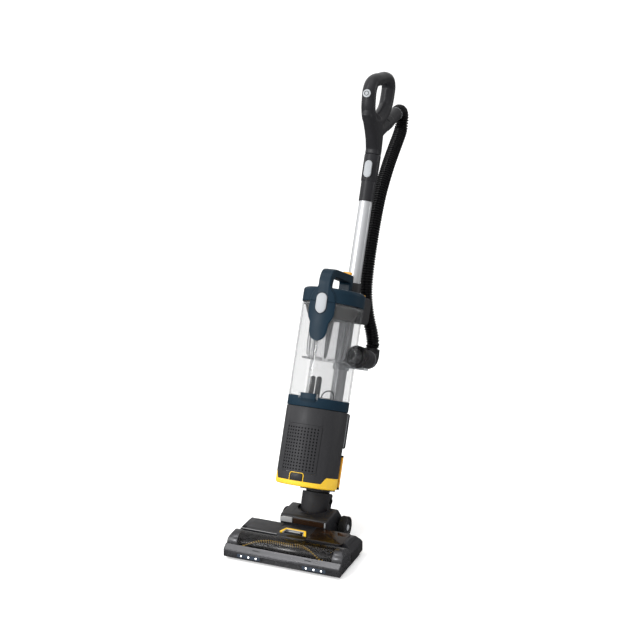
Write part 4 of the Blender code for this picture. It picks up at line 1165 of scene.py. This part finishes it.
def cyclone():
    """The clear cyclone pack: eight fluted ducts over a pierced flange, under a dark shroud."""
    low, high = span("cyclone_ducts", BODY)
    rings = []
    for z, middle, swell in ((low.z + 4, 34, 2.0), (low.z + 6, 39, 4.5), (low.z + 11, 42.5, 6.5),
                             (low.z + 40, 44.0, 7.5), (high.z, 46.0, 6.0)):
        angles = [math.tau * i / 256 for i in range(256)]
        rings.append([round_pod(middle + swell * abs(math.cos(4 * a)) ** 0.6 * 1.6 - swell * 0.6, a, z)
                      for a in angles])
    ducts = cut(loft(rings), rod_z(low.z, high.z + 3, 0, POD_Y, 36, 96))
    piece("cyclone_cones", ducts, "lid_assembly", "cone", ("cyclone_ducts",), angle=50)
    cores = []
    for i in range(8):
        a = math.tau * (i + 0.5) / 8
        x, y = 42.0 * math.cos(a), POD_Y + 42.0 * math.sin(a)
        foot = (x * 0.9, POD_Y + (y - POD_Y) * 0.9, low.z + 8)
        cores.append(rod_between(foot, (x, y, high.z - 1), 3.0, 20, 7.0))
    piece("cyclone_cores", merged(cores), "lid_assembly", "cone")
    flange = [(28, low.z), (high.x, low.z), (high.x, low.z + 2.4), (high.x - 1, low.z + 3.2),
              (28, low.z + 3.2)]
    holes = [rod_z(low.z - 2, low.z + 6, 46 * math.cos(a), POD_Y + 46 * math.sin(a), 4.5, 24)
             for a in (math.tau * (i + 0.25) / 12 for i in range(12))]
    flange = cut(turned_pod(flange), merged(holes))
    piece("cyclone_flange", soften(flange, 0.3, 2, 50), "lid_assembly", "cone")
    low, high = span("cyclone_shroud", BODY)
    shroud = [(20, low.z), (54, low.z), (56, low.z + 1), (57, low.z + 6), (60, low.z + 12), (64, low.z + 22),
              (66, low.z + 28), (66, high.z - 0.5), (65, high.z), (20, high.z)]
    seal = [(66.3, high.z - 5), (70.6, high.z - 5), (71.2, high.z - 4), (70.6, high.z - 3),
            (66.3, high.z - 3)]
    piece("shroud_shell", turned_pod(shroud), "lid_assembly", "shroud", ("cyclone_shroud",))
    piece("lid_seal", turned_pod(seal), "lid_assembly", "tower")


def lid():
    """The lid, its carry handle and the upper front plate, fused into one soft-cornered moulding."""
    low, high = LID_LOW, LID_LOW + 35.7
    radius = LID_RADIUS
    cap = [(radius - 2, low), (radius, low), (radius, high - 8), (radius - 0.8, high - 4.5),
           (radius - 3, high - 1.8), (radius - 6, high - 0.4), (radius - 9, high), (0.5, high),
           (0.5, high - 4), (radius - 5.5, high - 4)]
    front, back = POD_Y - radius, POD_Y + radius
    over = [(front - 4, high - 22), (front - 4.2, high + 14), (front - 3, high + 24), (front + 1, high + 33),
            (front + 7, high + 40), (front + 15, high + 44.5), (front + 30, high + 47), (back - 5, high + 49),
            (back - 1.5, high + 47), (back - 0.5, high + 43), (back - 0.5, high + 12), (back - 4, high - 3)]
    under = [(back - 18, high - 3), (back - 18.5, high + 24), (back - 20, high + 27.5),
             (back - 24, high + 29), (front + 34, high + 28), (front + 25, high + 25),
             (front + 19, high + 19), (front + 16.5, high + 10), (front + 15, high - 3),
             (front + 10, high - 22)]
    strap = soften(prism_x(over + under, -15, 15), 3.2, 4, 20)
    shape = melt(join(turned_pod(cap), strap, front_plate(low, 575, radius - 4)), 1.15, 5)
    seat = box(-11, 11, POD_Y + 60, POD_Y + 73, 606, 620)
    below = box(-90, 90, POD_Y - 90, POD_Y + 90, low - 6, low)
    shape = cut(shape, button_pocket(), seat, below)
    piece("lid_moulding", shape, "lid_assembly", "navy", ("lid",), angle=40)
    key = domed_key(pill(13.2, 500.5, 547.5, 17, 2.0), 524, PLATE_FACE,
                    ((0.5, 1.0), (-1.6, 1.0), (-2.5, 0.965), (-3.0, 0.90)))
    piece("lid_key", key, "lid_catch", "light_grey", ("lid_button",), angle=50)
    refined("pod_release_button", "orange", 0.6)


# ---------------------------------------------------------------- wand and handle

def wand():
    """The silver tube, and the collar with its long release key in a dark rim."""
    low, high = TUBE_LOW.z, TUBE_HIGH.z
    tube = [(TUBE_RADIUS - 1.5, low), (TUBE_RADIUS - 0.3, low), (TUBE_RADIUS, low + 0.4), (TUBE_RADIUS, high),
            (TUBE_RADIUS - 1.5, high)]
    piece("wand_pipe", turned_z(tube, 0, TUBE_Y, 96), "wand", "aluminium", ("wand_tube",))
    bottom, top = (corner.z for corner in span("wand_collar", BODY))
    step = bottom + 51.0
    inner = TUBE_RADIUS + 0.3
    profile = [(inner, bottom), (18.0, bottom), (18.4, bottom + 0.5), (18.8, step - 0.4), (20.0, step + 0.4),
               (20.3, step + 1.2), (20.7, top - 2), (20.4, top - 0.8), (19.4, top), (14.5, top),
               (14.5, bottom + 45), (inner, bottom + 45)]
    front = TUBE_Y - 17.4
    pocket = prism_y(pill(12.2, step + 4.5, step + 53.5, 17), 4, front)
    collar = cut(turned_z(profile, 0, TUBE_Y, 96), pocket)
    piece("collar_shell", collar, "wand", "charcoal_soft", ("wand_collar",))
    rings = ribbon(pill(12.1, step + 4.6, step + 53.4, 17), pill(10.6, step + 6.2, step + 51.8, 17),
                   lambda x, z, y: (x, y, z), front - 4.0, front - 0.2)
    piece("key_rim", loft(rings, closed=True), "wand", "gloss_black", angle=40)
    key = domed_key(pill(9.8, step + 7.2, step + 50.8, 17), step + 29.0, front,
                    ((-3.2, 1.0), (-4.2, 1.0), (-5.2, 0.96), (-5.8, 0.88)))
    piece("wand_key", key, "handle_release", "light_grey", ("handle_release_button",), angle=50)


# The grip loop's middle line, and the hose outlet's ends, in the BODY frame
GRIP = [(0, -47, 1022), (0, -55, 1045), (0, -58, 1068), (0, -50, 1087), (0, -30, 1101), (0, 0, 1112),
        (0, 34, 1124), (0, 58, 1125), (0, 72, 1112), (0, 74, 1090), (0, 70, 1062), (0, 50, 1030),
        (0, 10, 1006), (0, -28, 1002)]
OUTLET_START, OUTLET_END = Vector((0, 52.0, 995.0)), Vector((0, 158.0, 1064.0))


def limb(stations):
    """A limb of the handle: ovals square to a path; each station is y, z, half x and half across."""
    path = [Vector((0, y, z)) for y, z, _, _ in stations]
    dense = smooth_path(path, 6)
    sizes = smooth_path([Vector((hx, hn, 0)) for _, _, hx, hn in stations], 6)
    rings = []
    for i, (point, size) in enumerate(zip(dense, sizes)):
        along = (dense[min(i + 1, len(dense) - 1)] - dense[max(i - 1, 0)]).normalized()
        across = Vector((0, -along.z, along.y))
        rings.append([point + Vector((size.x * a, 0, 0)) + across * size.y * b for a, b in circle(1.0, 40)])
    return loft(rings)


def handle():
    """Grip loop, stem, rear bar and hose outlet, fused where they cross."""
    foot = span("handle", BODY)[0].z
    grip = loop_tube(smooth_path(GRIP, 5, closed=True), 18.0, 16.0)
    stem = oval_column([(foot, TUBE_Y, 18.5, 19.5), (937, 33, 18.2, 22.5), (958, 26, 17.8, 31),
                        (974, 18, 17.6, 40), (990, 8, 17.4, 50), (1004, -4, 17.0, 58),
                        (1020, -20, 16.5, 42)], 96, 2.9)
    bar = limb(((74, 1092, 17.0, 15.5), (72, 1064, 17.0, 16.5), (48, 1034, 16.5, 17.5),
                (16, 1008, 16.0, 18.0), (-12, 986, 15.0, 16.0)))
    outlet = rod_between(OUTLET_START - Vector((0, 12, 8)), OUTLET_END, 17.0)
    sleeve = rod_between(OUTLET_START.lerp(OUTLET_END, 0.30), OUTLET_START.lerp(OUTLET_END, 0.50), 18.4)
    shape = melt(join(grip, stem, bar, outlet, sleeve), 1.3, 4)
    along = (OUTLET_END - OUTLET_START).normalized()
    bore = rod_between(OUTLET_START, OUTLET_END + along * 8, 12.0, 32)
    riser = rod_between((0, TUBE_Y, foot - 5), OUTLET_START + Vector((0, 0, 6)), 12.0, 32)
    low, high = span("power_button", BODY)
    middle = (low.z + high.z) / 2
    boss, face = 10.2, low.y
    seat = rod_y(-80, -70.5, 0, middle, boss + 0.4)
    below = box(-60, 60, -60, 120, foot - 8, foot)
    shape = cut(shape, bore, riser, seat, below)
    piece("handle_moulding", shape, "wand", "charcoal_soft", ("handle",), angle=50)
    start = OUTLET_END - along * 1.2
    rim = cut(rod_between(start - along * 1.0, start, 17.25),
              rod_between(start - along * 3, start + along * 3, 16.3))
    piece("outlet_rim", rim, "wand", "light_grey")

    radius = (high.x - low.x) / 2
    disc = [(face + 3.2, 0.2), (face + 3.2, radius), (face + 1.8, radius), (face + 1.0, boss),
            (face + 0.2, boss - 0.3), (face - 0.4, boss - 1.4), (face - 0.5, 0.2)]
    mark = [(face - 0.8, 4.6), (face - 0.8, 6.0), (face + 0.2, 6.0), (face + 0.2, 4.6)]
    piece("power_disc", turned_y(disc, 0, middle), "power", "light_grey", ("power_button",))
    piece("power_mark", turned_y(mark, 0, middle), "power", "gloss_black")


# ---------------------------------------------------------------- the rest of the frame

def remaining_nodes():
    """Inner and small CAD nodes take their slot's look; a few that show get rounded edges too."""
    slots = {part["node"]: part["material_slot"] for part in frame["record"]["subparts"]}
    for node in ("sole_plate", "pivot_pin_left", "pivot_pin_right", "wheel_axle_left", "wheel_axle_right",
                 "brush_motor", "motor_pulley", "front_roller_left", "front_roller_right"):
        refined(node, slots[node], 0.5)
    for node, obj in frame["nodes"].items():
        if not obj.hide_render:
            obj.data.materials.clear()
            obj.data.materials.append(LOOKS["strip_blue" if slots[node] == "lens" else slots[node]])


camera()
hose()
studio()
for make in (front_bumper, end_caps, window, brush, deck, window_latch, rear_box, wheels, neck, spine,
             hose_fittings, motor_unit, bin_unit, cyclone, lid, wand, handle, remaining_nodes):
    make()
